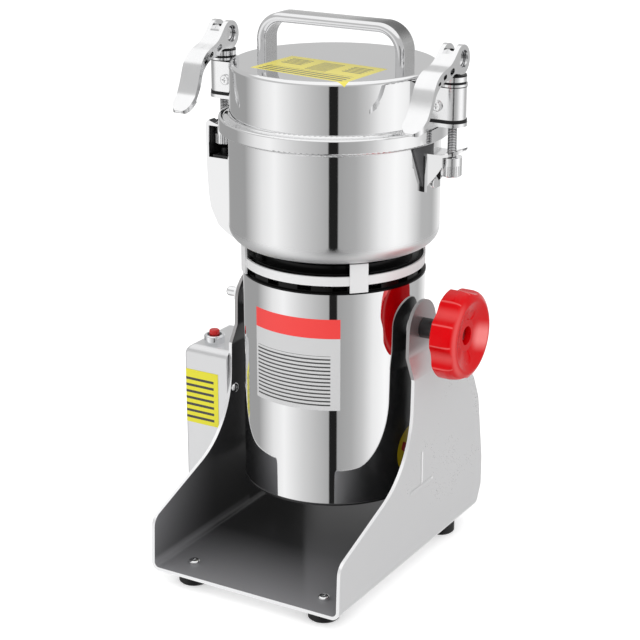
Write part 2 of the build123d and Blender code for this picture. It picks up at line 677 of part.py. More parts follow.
def rocker_pin(clearance):
    """The pin across the middle of the rocker, or its hole when grown by a clearance."""
    reach = ROCKER_SIZE[0] / 2 + ROCKER_PIN_PROUD + clearance
    return rod(ROCKER_PIN_RADIUS + clearance, 2 * reach, (-BOX_OUTER, ROCKER_Y - reach, ROCKER_Z), BACK)


def rocker_switch():
    """The rocker: a shallow V that turns on a pin across its middle."""
    half_y, half_z = ROCKER_SIZE[0] / 2, ROCKER_SIZE[1] / 2
    face = -BOX_OUTER - ROCKER_FRAME_THICKNESS
    edge = 0.6
    points = [
        (face + ROCKER_BODY_DEPTH / 4, ROCKER_Z - half_z, 0.0),
        (face - ROCKER_PROUD, ROCKER_Z - half_z, edge),
        (face - ROCKER_PROUD / 3, ROCKER_Z, 0.0),
        (face, ROCKER_Z + half_z, edge),
        (face + ROCKER_BODY_DEPTH / 4, ROCKER_Z + half_z, 0.0),
        (face + ROCKER_BODY_DEPTH / 3, ROCKER_Z, 0.0),
    ]
    return Pos(0, ROCKER_Y, 0) * extrude(Plane.XZ * outline(points), half_y, both=True) + rocker_pin(0)


def cord_gland():
    """A tapered gland in the back wall of the box, with the cord's bore."""
    flange = rod(GLAND_RADIUS, BOX_WALL, gland_place(0), BACK)
    nose = Plane(origin=gland_place(BOX_WALL), z_dir=BACK) * Cone(
        GLAND_NECK_RADIUS, GLAND_NECK_RADIUS - 1.0, GLAND_LENGTH - BOX_WALL, align=BOTTOM
    )
    inner = rod(GLAND_NECK_RADIUS, 2 * BOX_WALL, gland_place(-2 * BOX_WALL), BACK)
    return flange + nose + inner - rod(GLAND_BORE_RADIUS, 2 * GLAND_LENGTH, gland_place(-GLAND_LENGTH), BACK)


# ---- motor housing ----
def motor_housing():
    """The polished tube, with a hole each side for the tilt pivots."""
    height = HOUSING_TOP - HOUSING_BOTTOM
    body = tube(HOUSING_RADIUS, HOUSING_INNER, height, (0, 0, HOUSING_BOTTOM))
    body -= rod(PIVOT_BOLT_RADIUS + SEAT, HOUSING_RADIUS, (-HOUSING_RADIUS, 0, PIVOT_Z), RIGHT)
    return body - rod(STUD_RADIUS + RUN, HOUSING_RADIUS, (0, 0, PIVOT_Z), RIGHT)


def cap_screw_places():
    """(x, y) of the three screws under the housing."""
    turns = [radians(90 + 120 * i) for i in range(3)]
    return [(CAP_SCREW_PITCH_RADIUS * cos(a), CAP_SCREW_PITCH_RADIUS * sin(a)) for a in turns]


def bottom_cap():
    """The black cap that closes the housing, with a ring of air holes."""
    low = HOUSING_BOTTOM - CAP_THICKNESS
    cap = rod(HOUSING_RADIUS + CAP_PROUD, CAP_THICKNESS, (0, 0, low))
    cap += tube(HOUSING_INNER - SEAT, HOUSING_INNER - SEAT - SHEET, CAP_SKIRT, (0, 0, HOUSING_BOTTOM))
    cap += rod(HOUSING_INNER - SEAT, SHEET, (0, 0, HOUSING_BOTTOM))
    for i in range(CAP_VENTS):
        place = PolarLocations(CAP_VENT_PITCH_RADIUS, CAP_VENTS).locations[i].position
        cap -= rod(CAP_VENT_RADIUS, CAP_THICKNESS + SHEET, (place.X, place.Y, low))
    for x, y in cap_screw_places():
        cap -= rod(HEAD_SCREW_RADIUS + SEAT, CAP_THICKNESS + SHEET, (x, y, low))
    return cap


def head_screws():
    """Pan head screws of one size: three under the bottom cap, two inside the lid for the handle."""
    screw = pan_screw(
        HEAD_SCREW_RADIUS, HEAD_SCREW_LENGTH, HEAD_SCREW_HEAD_RADIUS, HEAD_SCREW_HEAD_HEIGHT
    )
    upward = Rot(180, 0, 0) * screw
    under_cap = [Pos(x, y, HOUSING_BOTTOM - CAP_THICKNESS) * upward for x, y in cap_screw_places()]
    in_lid = [Pos(side * HANDLE_HALF_SPAN, 0, LID_TOP - LID_WALL) * upward for side in (-1, 1)]
    return group(under_cap + in_lid)


def vent_core():
    """The black spacer between housing and bowl: a trim lip, a slotted wall and steps that carry the bowl."""
    outer = HOUSING_INNER - SEAT
    ring_inner = HOUSING_RADIUS - VENT_RING_WALL - SEAT
    steps_bottom = VENT_RING_TOP
    core = rod(HOUSING_RADIUS + CAP_PROUD, LIP_HEIGHT, (0, 0, HOUSING_TOP))
    core += rod(ring_inner, steps_bottom - HOUSING_TOP, (0, 0, HOUSING_TOP))
    low = steps_bottom
    for inset, height in CORE_STEPS:
        core += rod(HOUSING_RADIUS - inset, height, (0, 0, low))
        low += height
    top_radius = HOUSING_RADIUS - CORE_STEPS[-1][0] - CORE_WALL
    core -= rod(outer - CORE_WALL, steps_bottom - HOUSING_TOP - LIP_HEIGHT, (0, 0, HOUSING_TOP))
    core -= rod(top_radius, BOWL_BOTTOM - CORE_WALL - HOUSING_TOP, (0, 0, HOUSING_TOP))
    core -= rod(BEARING_RADIUS, BOWL_BOTTOM - HOUSING_TOP, (0, 0, HOUSING_TOP))
    slot_bottom = HOUSING_TOP + LIP_HEIGHT + (VENT_GAP - LIP_HEIGHT - CORE_SLOT_HEIGHT) / 2
    slot = block(
        (outer - 2 * CORE_WALL, -CORE_SLOT_WIDTH / 2, slot_bottom),
        (HOUSING_RADIUS, CORE_SLOT_WIDTH / 2, slot_bottom + CORE_SLOT_HEIGHT),
    )
    for i in range(CORE_SLOTS):
        core -= Rot(0, 0, (i + 0.5) * 360 / CORE_SLOTS) * slot
    return core


def vent_ring():
    """The steel ring under the bowl, with four upright tabs."""
    inner = HOUSING_RADIUS - VENT_RING_WALL
    ring = tube(HOUSING_RADIUS, inner, VENT_RING_HEIGHT, (0, 0, VENT_RING_BOTTOM))
    low = HOUSING_TOP + LIP_HEIGHT + TAB_RISE
    high = BOWL_BOTTOM - TAB_RISE
    band = tube(HOUSING_RADIUS + TAB_THICKNESS, HOUSING_RADIUS - SEAT, high - low, (0, 0, low))
    for i in range(4):
        ring += band & wedge(TAB_ANGLE, 2 * HOUSING_RADIUS, low, high, 45 + 90 * i)
    return ring


# ---- motor ----
def end_bell(low):
    """A bearing carrier across the housing, with air windows."""
    bell = rod(HOUSING_INNER - SEAT, BELL_THICKNESS, (0, 0, low))
    bell -= rod(SHAFT_RADIUS + ROTOR_CLEARANCE, BELL_THICKNESS, (0, 0, low))
    for i in range(BELL_WINDOWS):
        angle = radians(30 + i * 360 / BELL_WINDOWS)
        at = (BELL_WINDOW_PITCH_RADIUS * cos(angle), BELL_WINDOW_PITCH_RADIUS * sin(angle), low)
        bell -= rod(BELL_WINDOW_RADIUS, BELL_THICKNESS, at)
    return bell


def lower_end_bell():
    """Lower bearing carrier, with three posts for the bottom cap's screws."""
    bell = end_bell(LOWER_BELL_BOTTOM)
    bell -= rod(BEARING_RADIUS + SEAT, BEARING_WIDTH, (0, 0, LOWER_BELL_BOTTOM))
    post_bottom = HOUSING_BOTTOM + SHEET
    for x, y in cap_screw_places():
        bell += rod(BELL_POST_RADIUS, LOWER_BELL_BOTTOM - post_bottom, (x, y, post_bottom))
        bell -= rod(HEAD_SCREW_RADIUS + SEAT, HEAD_SCREW_LENGTH, (x, y, post_bottom - SHEET))
    return bell


def upper_end_bell():
    """Upper bearing carrier, just inside the housing's top."""
    bell = end_bell(UPPER_BELL_BOTTOM)
    return bell - rod(BEARING_RADIUS + SEAT, BEARING_WIDTH, (0, 0, UPPER_BELL_TOP - BEARING_WIDTH))


def bearings():
    """The two shaft bearings."""
    lower = tube(BEARING_RADIUS, SHAFT_RADIUS + RUN, BEARING_WIDTH, (0, 0, LOWER_BELL_BOTTOM))
    upper = tube(BEARING_RADIUS, SHAFT_RADIUS + RUN, BEARING_WIDTH, (0, 0, UPPER_BELL_TOP - BEARING_WIDTH))
    return group([lower, upper])


def stator_core():
    """Laminated ring with two pole shoes, front and back."""
    low = (0, 0, STATOR_BOTTOM)
    core = tube(HOUSING_INNER - SEAT, YOKE_INNER, STATOR_HEIGHT, low)
    shoes = tube(YOKE_INNER + SEAT, STATOR_BORE_RADIUS, STATOR_HEIGHT, low)
    for side in (-90, 90):
        core += shoes & wedge(POLE_ANGLE, 2 * HOUSING_RADIUS, STATOR_BOTTOM, STATOR_TOP, side)
    # a taller core keeps room for the tilt bolt's head and the stud's nut
    room = STUD_NUT_FLATS / 2 / cos(radians(30)) + FACE_GAP
    return core - rod(room, 2 * HOUSING_RADIUS, (-HOUSING_RADIUS, 0, PIVOT_Z), RIGHT)


def field_coils():
    """The two field windings between the pole shoes."""
    low, high = STATOR_BOTTOM - COIL_OVERHANG, STATOR_TOP + COIL_OVERHANG
    band = tube(YOKE_INNER - COIL_FROM_YOKE, STATOR_BORE_RADIUS + COIL_FROM_BORE, high - low, (0, 0, low))
    return group([band & wedge(COIL_ANGLE, 2 * HOUSING_RADIUS, low, high, side) for side in (0, 180)])


def brush_line():
    """Height of the brushes, half way up the commutator."""
    return (COMMUTATOR_BOTTOM + COMMUTATOR_TOP) / 2


def carbon_brushes():
    """Two carbon brushes that bear on the commutator."""
    start = COMMUTATOR_RADIUS + BRUSH_AIR_GAP
    half_y, half_z = BRUSH_SIZE[0] / 2, BRUSH_SIZE[1] / 2
    brush = block(
        (start, -half_y, brush_line() - half_z),
        (start + BRUSH_LENGTH, half_y, brush_line() + half_z),
    )
    return group([brush, other_side(brush)])


def brush_holders():
    """Two brush holders that stand on the lower end bell."""
    start = COMMUTATOR_RADIUS + BRUSH_LENGTH * BRUSH_WEAR
    half_y = BRUSH_SIZE[0] / 2 + BRUSH_HOLDER_WALL
    half_z = BRUSH_SIZE[1] / 2 + BRUSH_HOLDER_WALL
    end = start + BRUSH_HOLDER_LENGTH
    holder = block((start, -half_y, LOWER_BELL_TOP), (end, half_y, brush_line() + half_z))
    hole_y, hole_z = [size / 2 + SEAT for size in BRUSH_SIZE]
    holder -= block(
        (start, -hole_y, brush_line() - hole_z),
        (end - BRUSH_HOLDER_WALL, hole_y, brush_line() + hole_z),
    )
    return group([holder, other_side(holder)])


def motor_shaft():
    """The shaft, from the lower bearing up to the blade nut in the bowl."""
    shaft = rod(SHAFT_RADIUS, SHAFT_TOP - LOWER_BELL_BOTTOM, (0, 0, LOWER_BELL_BOTTOM))
    return chamfer(shaft.edges(), 0.5)


def armature_core():
    """The slotted rotor stack on the shaft."""
    radius = STATOR_BORE_RADIUS - MOTOR_AIR_GAP
    core = tube(radius, SHAFT_RADIUS + SEAT, STATOR_HEIGHT, (0, 0, STATOR_BOTTOM))
    width, depth = ARMATURE_SLOT
    slot = block((radius - depth, -width / 2, STATOR_BOTTOM), (radius + 1, width / 2, STATOR_TOP))
    for i in range(ARMATURE_SLOTS):
        core -= Rot(0, 0, i * 360 / ARMATURE_SLOTS) * slot
    return core


def commutator():
    """The copper drum that the brushes bear on."""
    return tube(COMMUTATOR_RADIUS, SHAFT_RADIUS + SEAT, COMMUTATOR_HEIGHT, (0, 0, COMMUTATOR_BOTTOM))


def cooling_fan():
    """A radial fan above the armature."""
    fan = rod(FAN_RADIUS, FAN_DISC, (0, 0, FAN_BOTTOM)) + rod(FAN_HUB_RADIUS, FAN_HEIGHT, (0, 0, FAN_BOTTOM))
    half = FAN_BLADE_THICKNESS / 2
    blade = block((FAN_HUB_RADIUS - 1, -half, FAN_BOTTOM), (FAN_RADIUS - 1, half, FAN_TOP))
    for i in range(FAN_BLADES):
        fan += Rot(0, 0, i * 360 / FAN_BLADES) * blade
    return fan - rod(SHAFT_RADIUS + SEAT, FAN_HEIGHT, (0, 0, FAN_BOTTOM))


# ---- tilt pivot and lock ----
def pivot_bosses():
    """Two spacers between the housing and the stand's ears."""
    length = EAR_INNER - FACE_GAP - HOUSING_INNER
    right = tube(BOSS_RADIUS, STUD_RADIUS + RUN, length, (HOUSING_INNER, 0, PIVOT_Z), RIGHT)
    left = tube(BOSS_RADIUS, PIVOT_BOLT_RADIUS + SEAT, length, (-HOUSING_INNER - length, 0, PIVOT_Z), RIGHT)
    barrel = rod(HOUSING_RADIUS, 4 * BOSS_RADIUS, (0, 0, PIVOT_Z - 2 * BOSS_RADIUS))
    return group([left - barrel, right - barrel])


def flat_inside(radius):
    """How far out a flat disc of that radius can sit inside the round housing."""
    return sqrt(HOUSING_INNER**2 - radius**2) - SEAT


def pivot_bolt():
    """The left tilt bolt, from inside the housing out through the ear."""
    seat = flat_inside(PIVOT_BOLT_HEAD_RADIUS)
    end = EAR_OUTER + PIVOT_WASHER_THICKNESS + PIVOT_NUT_THICKNESS + PIVOT_BOLT_TAIL
    head_start = (seat - PIVOT_BOLT_HEAD_HEIGHT, 0, PIVOT_Z)
    head = rod(PIVOT_BOLT_HEAD_RADIUS, PIVOT_BOLT_HEAD_HEIGHT, head_start, RIGHT)
    shank = rod(PIVOT_BOLT_RADIUS, end - seat, (seat, 0, PIVOT_Z), RIGHT)
    shank = fillet(shank.edges().group_by(Axis.X)[-1], PIVOT_BOLT_RADIUS / 2)
    return other_side(head + shank)


def pivot_nuts():
    """Left washer and hexagon nut outside the ear, and the stud's nut inside the housing."""
    washer_start = EAR_OUTER + FACE_GAP
    nut_start = washer_start + PIVOT_WASHER_THICKNESS
    bore = PIVOT_BOLT_RADIUS + SEAT
    washer = tube(PIVOT_WASHER_RADIUS, bore, PIVOT_WASHER_THICKNESS, (washer_start, 0, PIVOT_Z), RIGHT)
    nut = hex_nut(PIVOT_NUT_FLATS, bore, PIVOT_NUT_THICKNESS, (nut_start, 0, PIVOT_Z), RIGHT)
    seat = flat_inside(STUD_NUT_FLATS / 2 / cos(radians(30)))
    start = (seat - STUD_NUT_THICKNESS, 0, PIVOT_Z)
    inner = hex_nut(STUD_NUT_FLATS, STUD_RADIUS + RUN, STUD_NUT_THICKNESS, start, RIGHT)
    return group([other_side(washer), other_side(nut), inner])


def lock_sleeve():
    """The black sleeve between the ear and the knob."""
    return tube(SLEEVE_RADIUS, STUD_RADIUS + RUN, SLEEVE_LENGTH, (SLEEVE_START, 0, PIVOT_Z), RIGHT)


def knob_stud():
    """The threaded stud that is fixed in the knob and screws into the inner nut."""
    start = flat_inside(STUD_NUT_FLATS / 2 / cos(radians(30))) - STUD_NUT_THICKNESS
    return rod(STUD_RADIUS, KNOB_BACK + KNOB_STUD_IN_KNOB - start, (start, 0, PIVOT_Z), RIGHT)


def lock_knob():
    """A round knob with six finger notches, a coned dish and a socket in its face."""
    crest = KNOB_BACK + KNOB_DEPTH
    dish = crest - KNOB_DISH_DEPTH
    wall_end = KNOB_BACK + KNOB_WALL_DEPTH
    points = [
        (0, KNOB_BACK, 0.0),
        (KNOB_RADIUS, KNOB_BACK, KNOB_BACK_EDGE),
        (KNOB_RADIUS, wall_end, KNOB_SIDE_BEND),
        (KNOB_SHOULDER_RADIUS, (wall_end + crest) / 2, KNOB_SHOULDER_BEND),
        (KNOB_CREST_RADIUS, crest + KNOB_CREST_LIFT, KNOB_CREST_BEND),
        (KNOB_DISH_RADIUS, dish, KNOB_DISH_BEND),
        (KNOB_SOCKET_RADIUS, dish, KNOB_SOCKET_EDGE),
        (KNOB_SOCKET_RADIUS, dish - KNOB_SOCKET_DEPTH, 0.0),
        (0, dish - KNOB_SOCKET_DEPTH, 0.0),
    ]
    knob = revolve(Plane.XZ * outline(points), Axis.Z)
    middle = KNOB_RADIUS - KNOB_NOTCH_DEPTH + KNOB_NOTCH_RADIUS / cos(radians(KNOB_NOTCH_LEAN))
    cutter = Rot(0, KNOB_NOTCH_LEAN, 0) * Cylinder(KNOB_NOTCH_RADIUS, 4 * KNOB_DEPTH)
    cutter = Pos(middle, 0, KNOB_BACK) * cutter
    for i in range(KNOB_NOTCHES):
        knob -= Rot(0, 0, i * 360 / KNOB_NOTCHES) * cutter
    knob -= rod(STUD_RADIUS + SEAT, KNOB_STUD_IN_KNOB + FACE_GAP, (0, 0, KNOB_BACK))
    # the profile's own axis is turned from +Z to +X; its +X then points down, and the first notch is
    # KNOB_NOTCH_START degrees from the top towards the front
    return Pos(0, 0, PIVOT_Z) * Rot(180 - KNOB_NOTCH_START, 0, 0) * Rot(0, 90, 0) * knob


# ---- bowl ----
def bowl_outside(clearance):
    """The bowl's outer form as a full solid, or the room for it when grown by a clearance."""
    wall, rim = BOWL_RADIUS + clearance, RIM_RADIUS + clearance
    return turned([
        (0, BOWL_BOTTOM - clearance, 0.0),
        (wall, BOWL_BOTTOM - clearance, BOWL_CORNER),
        (wall, BOWL_WALL_TOP, RIM_STEP_BEND),
        (rim, RIM_BAND_BOTTOM, RIM_STEP_BEND),
        (rim, RIM_TOP, RIM_BEAD),
        (RIM_INNER, RIM_TOP, BOWL_WALL - RIM_BEAD),
        (0, RIM_TOP, 0.0),
    ])


def bowl():
    """A deep-drawn bowl, with a seat for the gasket under its rim and a hole for the shaft."""
    inside = turned([
        (0, BOWL_FLOOR, 0.0),
        (BOWL_INNER, BOWL_FLOOR, BOWL_CORNER - BOWL_WALL),
        (BOWL_INNER, RIM_SEAT, 0.0),
        (RIM_INNER, RIM_SEAT, 0.0),
        (RIM_INNER, RIM_TOP, 0.0),
        (0, RIM_TOP, 0.0),
    ])
    return bowl_outside(0) - inside - rod(SHAFT_HOLE_RADIUS, BOWL_WALL, (0, 0, BOWL_BOTTOM))


def shaft_seal():
    """The flanged seal that the shaft passes through."""
    seal = rod(SEAL_RADIUS, SEAL_HEIGHT, (0, 0, BOWL_FLOOR))
    seal += rod(SHAFT_HOLE_RADIUS - SEAT, BOWL_WALL, (0, 0, BOWL_BOTTOM))
    return seal - rod(SHAFT_RADIUS + RUN, SEAL_HEIGHT + BOWL_WALL, (0, 0, BOWL_BOTTOM))


def blade_spacers():
    """Two spacers that set the height of the blades."""
    step = SPACER_HEIGHT + BLADE_THICKNESS
    places = [SPACER_BOTTOM, SPACER_BOTTOM + step]
    return group([tube(SPACER_RADIUS, SHAFT_RADIUS + SEAT, SPACER_HEIGHT, (0, 0, z)) for z in places])


def grinding_blades():
    """Two flat blades, the upper one set across the lower, with bevelled leading edges."""
    half = BLADE_WIDTH / 2
    tip, waist = BLADE_TIP_EDGE, BLADE_WAIST_BEND
    arm = [
        (-BLADE_RADIUS, -half / 4, tip),
        (-SPACER_RADIUS, -half, waist),
        (SPACER_RADIUS, -half, waist),
        (BLADE_RADIUS, -half, tip),
        (BLADE_RADIUS, half / 4, tip),
        (SPACER_RADIUS, half, waist),
        (-SPACER_RADIUS, half, waist),
        (-BLADE_RADIUS, half, tip),
    ]
    blade = extrude(outline(arm), BLADE_THICKNESS)
    edge = Rot(45, 0, 0) * Box(4 * BLADE_RADIUS, 2 * BLADE_BEVEL, BLADE_BEVEL)
    edge = Pos(0, -half, BLADE_THICKNESS) * edge
    edge &= block((2 * SPACER_RADIUS, -BLADE_WIDTH, 0), (2 * BLADE_RADIUS, 0, 2 * BLADE_THICKNESS))
    for turn in (0, 180):
        blade -= Rot(0, 0, turn) * edge
    blade -= rod(SHAFT_RADIUS + SEAT, BLADE_THICKNESS, (0, 0, 0))
    lower = SPACER_BOTTOM + SPACER_HEIGHT
    upper = lower + BLADE_THICKNESS + SPACER_HEIGHT
    return group([Pos(0, 0, lower) * blade, Pos(0, 0, upper) * Rot(0, 0, 90) * blade])


def blade_nut():
    """The domed nut on top of the blades."""
    nut = hex_nut(BLADE_NUT_FLATS, SHAFT_RADIUS + SEAT, BLADE_NUT_HEIGHT, (0, 0, BLADE_STACK_TOP))
    dome = BLADE_NUT_FLATS / 2
    shape = nut & (
        rod(2 * dome, BLADE_NUT_HEIGHT - dome, (0, 0, BLADE_STACK_TOP))
        + Pos(0, 0, BLADE_STACK_TOP + BLADE_NUT_HEIGHT - dome) * Sphere(dome)
    )
    dome_inside = BLADE_STACK_TOP + BLADE_NUT_HEIGHT - SHAFT_TOP - BLADE_NUT_SKIN
    return shape + rod(SHAFT_RADIUS + 2 * SEAT, dome_inside, (0, 0, SHAFT_TOP + SEAT))


def lid_gasket():
    """The flat ring on the bowl's seat that the lid presses on."""
    width = RIM_INNER - BOWL_INNER - 2 * GASKET_SIDE_GAP
    start = (0, 0, RIM_SEAT)
    return tube(BOWL_INNER + GASKET_SIDE_GAP + width, BOWL_INNER + GASKET_SIDE_GAP, GASKET_THICKNESS, start)


# ---- lid and handle ----
def lid():
    """A hollow lid with a flange round its foot that sits inside the bowl's rim."""
    def skin(inset):
        wall, foot = LID_RADIUS - inset, LID_FOOT_RADIUS - inset
        return turned([
            (0, LID_TOP - inset, 0.0),
            (wall, LID_TOP - inset, LID_EDGE - inset),
            (wall, LID_FLANGE_TOP - inset, LID_FLANGE_BEND),
            (foot, LID_FLANGE_TOP - inset, LID_FLANGE_EDGE - inset),
            (foot, GASKET_TOP, 0.0),
            (0, GASKET_TOP, 0.0),
        ])
    body = skin(0) - skin(LID_WALL)
    for side in (-1, 1):
        body -= rod(HEAD_SCREW_RADIUS + SEAT, LID_WALL, (side * HANDLE_HALF_SPAN, 0, LID_TOP - LID_WALL))
    return body


def lid_handle():
    """A flat bar bent over the lid, with rounded edges and a screw hole in each leg."""
    outer = HANDLE_HALF_SPAN + HANDLE_THICKNESS / 2
    inner = outer - HANDLE_THICKNESS
    under = HANDLE_TOP - HANDLE_THICKNESS
    bend = HANDLE_BEND + HANDLE_THICKNESS
    half = [
        (outer, LID_TOP, 0.0),
        (outer, HANDLE_TOP, bend),
        (-outer, HANDLE_TOP, bend),
        (-outer, LID_TOP, 0.0),
        (-inner, LID_TOP, 0.0),
        (-inner, under, HANDLE_BEND),
        (inner, under, HANDLE_BEND),
        (inner, LID_TOP, 0.0),
    ]
    bar = extrude(Plane.XZ * outline(half), HANDLE_WIDTH / 2, both=True)
    faces = bar.faces().sort_by(Axis.Y)
    rims = [e for f in (faces[0], faces[-1]) for e in f.edges() if e.center().Z > LID_TOP + FACE_GAP]
    bar = fillet(rims, HANDLE_EDGE)
    depth = HEAD_SCREW_LENGTH
    for side in (-1, 1):
        bar -= rod(HEAD_SCREW_RADIUS + SEAT, depth, (side * HANDLE_HALF_SPAN, 0, LID_TOP))
    return bar


def clamp_lugs():
    """A lug on each side of the lid: a base on the wall and two ears for the clamp's pivot screw."""
    base = block(
        (LID_RADIUS - LUG_BASE, -LUG_HALF_WIDTH, CLAMP_PIVOT_Z - LUG_BELOW_PIVOT),
        (LID_RADIUS + LUG_BASE, LUG_HALF_WIDTH, CLAMP_PIVOT_Z + LUG_ABOVE_PIVOT),
    )
    ear_start = (CLAMP_PIVOT_X, LUG_EAR_INNER, CLAMP_PIVOT_Z)
    ear = rod(LUG_EAR_RADIUS, LUG_EAR_OUTER - LUG_EAR_INNER, ear_start, BACK)
    ear += block(
        (LID_RADIUS - LUG_BASE, LUG_EAR_INNER, CLAMP_PIVOT_Z - LUG_EAR_RADIUS),
        (CLAMP_PIVOT_X, LUG_EAR_OUTER, CLAMP_PIVOT_Z + LUG_EAR_RADIUS),
    )
    lug = base + ear + mirror(ear, about=Plane.XZ)
    front = (CLAMP_PIVOT_X, -2 * LUG_EAR_OUTER, CLAMP_PIVOT_Z)
    lug -= rod(CLAMP_SCREW_RADIUS + RUN, 4 * LUG_EAR_OUTER, front, BACK)
    lug -= rod(LID_RADIUS + SEAT, LID_RISE, (0, 0, RIM_TOP))
    return group([lug, other_side(lug)])


# ---- clamps ----
def stadium(radius, mouth, low, high):
    """An upright bar about the rod, rounded outside, that runs inwards to mouth from the pivot."""
    inner = CLAMP_PIVOT_X - mouth
    bar = rod(radius, high - low, (ROD_X, 0, low))
    return bar + block((inner, -radius, low), (ROD_X, radius, high))


def clamp_body():
    """A strap bent round the rod, open towards the lid, with a top plate, a foot lip and collars."""
    low = CLAMP_BOTTOM
    strap = stadium(CLAMP_RADIUS, CLAMP_MOUTH_BOTTOM, low, CLAMP_TOP)
    strap -= stadium(CLAMP_RADIUS - CLAMP_WALL, 2 * CLAMP_MOUTH_BOTTOM, low, CLAMP_TOP - CLAMP_TOP_PLATE)
    lip = stadium(CLAMP_RADIUS + CLAMP_LIP_PROUD, CLAMP_LIP_MOUTH, low, low + CLAMP_LIP_HEIGHT)
    lip -= stadium(CLAMP_RADIUS - CLAMP_WALL, 2 * CLAMP_MOUTH_BOTTOM, low, CLAMP_TOP)
    strap += lip
    slope = [
        (CLAMP_PIVOT_X - 3 * CLAMP_MOUTH_BOTTOM, low, 0.0),
        (CLAMP_PIVOT_X - CLAMP_MOUTH_BOTTOM, low + CLAMP_LIP_HEIGHT, 0.0),
        (CLAMP_PIVOT_X - CLAMP_MOUTH_TOP, CLAMP_TOP, 0.0),
        (CLAMP_PIVOT_X - 3 * CLAMP_MOUTH_BOTTOM, CLAMP_TOP, 0.0),
    ]
    strap -= extrude(Plane.XZ * outline(slope), 2 * CLAMP_RADIUS, both=True)
    mouth_cut = CLAMP_PIVOT_X - CLAMP_LIP_MOUTH
    strap -= block((0, -2 * CLAMP_RADIUS, low), (mouth_cut, 2 * CLAMP_RADIUS, low + CLAMP_LIP_HEIGHT))
    z = CLAMP_TOP
    collars = []
    for radius, height, rubber in CLAMP_STACK:
        if not rubber:
            collars.append(tube(radius, ROD_RADIUS + RUN, height, (ROD_X, 0, z)))
        z += height
    strap -= rod(ROD_RADIUS + RUN, CLAMP_TOP, (ROD_X, 0, CLAMP_PIVOT_Z))
    start = (CLAMP_PIVOT_X, -2 * CLAMP_RADIUS, CLAMP_PIVOT_Z)
    strap -= rod(CLAMP_SCREW_RADIUS + SEAT, 4 * CLAMP_RADIUS, start, BACK)
    return group([strap] + collars)


def clamp_rubbers():
    """The black band round the strap's foot and the rubber rings of the stack above it."""
    low = CLAMP_BOTTOM + CLAMP_LIP_HEIGHT
    high = low + CLAMP_BAND_HEIGHT
    band = stadium(CLAMP_RADIUS + CLAMP_BAND_PROUD, CLAMP_LIP_MOUTH, low, high)
    band -= stadium(CLAMP_RADIUS, 3 * CLAMP_MOUTH_BOTTOM, low, high)
    rings = [band]
    z = CLAMP_TOP
    for radius, height, rubber in CLAMP_STACK:
        if rubber:
            rings.append(tube(radius, ROD_RADIUS + RUN, height, (ROD_X, 0, z)))
        z += height
    return group(rings)


def clamp_screw():
    """The screw that the clamp swings on, head to the front and riveted over behind."""
    reach = CLAMP_RADIUS
    shank = rod(CLAMP_SCREW_RADIUS, 2 * reach, (CLAMP_PIVOT_X, -reach, CLAMP_PIVOT_Z), BACK)
    head = Rot(90, 0, 0) * pan_screw(
        CLAMP_SCREW_RADIUS, reach, CLAMP_SCREW_HEAD_RADIUS, CLAMP_SCREW_HEAD_HEIGHT
    )
    tail = rod(CLAMP_SCREW_HEAD_RADIUS, CLAMP_SCREW_HEAD_HEIGHT, (CLAMP_PIVOT_X, reach, CLAMP_PIVOT_Z), BACK)
    return shank + Pos(CLAMP_PIVOT_X, -reach, CLAMP_PIVOT_Z) * head + tail


def clamp_rod():
    """The threaded rod and the cross barrel at its top that the lever turns on."""
    bar = rod(ROD_RADIUS, PIN_Z + ROD_ABOVE_PIN - NUT_BOTTOM, (ROD_X, 0, NUT_BOTTOM))
    barrel = rod(BARREL_RADIUS, 2 * BARREL_HALF_LENGTH, (ROD_X - BARREL_HALF_LENGTH, 0, PIN_Z), RIGHT)
    barrel -= rod(ROD_RADIUS + SEAT, 4 * BARREL_RADIUS, (ROD_X, 0, PIN_Z - 2 * BARREL_RADIUS))
    return group([bar, barrel])


def clamp_nut():
    """The round nut under the catch: smooth above, knurled below."""
    nut = tube(NUT_RADIUS, ROD_RADIUS + SEAT, NUT_HEIGHT, (ROD_X, 0, NUT_BOTTOM))
    lower_rim = nut.edges().group_by(Axis.Z)[0].sort_by(Edge.length)[-1]
    nut = chamfer(lower_rim, NUT_CHAMFER)
    groove = Rot(0, 0, 45) * Box(NUT_KNURL_DEPTH, NUT_KNURL_DEPTH, NUT_HEIGHT - NUT_SMOOTH, align=BOTTOM)
    for i in range(NUT_KNURLS):
        angle = radians(i * 360 / NUT_KNURLS)
        place = Pos(ROD_X + NUT_RADIUS * cos(angle), NUT_RADIUS * sin(angle), NUT_BOTTOM)
        nut -= place * Rot(0, 0, degrees(angle)) * groove
    return nut


def lever_profile():
    """Side outline of the lever: the cam ear, then a smooth top and underside to the rounded tip."""
    cam_y, cam_z = LEVER_CAM_OFFSET

    def on_cam(angle):
        turn = radians(angle)
        return (cam_y + LEVER_EAR_RADIUS * cos(turn), cam_z + LEVER_EAR_RADIUS * sin(turn))

    start, end = on_cam(LEVER_EAR_TOP_ANGLE), on_cam(LEVER_EAR_UNDER_ANGLE)
    leave = (-sin(radians(LEVER_EAR_TOP_ANGLE)), cos(radians(LEVER_EAR_TOP_ANGLE)))
    arrive = (sin(radians(LEVER_EAR_UNDER_ANGLE)), -cos(radians(LEVER_EAR_UNDER_ANGLE)))
    top = Spline(start, *LEVER_TOP, tangents=[leave, LEVER_TOP_RUN_OUT])
    under = Spline(end, *LEVER_UNDER, tangents=[(-arrive[0], -arrive[1]), LEVER_UNDER_RUN_OUT])
    nose = (LEVER_TOP[-1][0] - LEVER_TIP_NOSE[0], LEVER_UNDER[-1][1] + LEVER_TIP_NOSE[1])
    tip = ThreePointArc(LEVER_TOP[-1], nose, LEVER_UNDER[-1])
    cam = ThreePointArc(start, on_cam(0), end)
    return make_face([cam, top, tip, under])


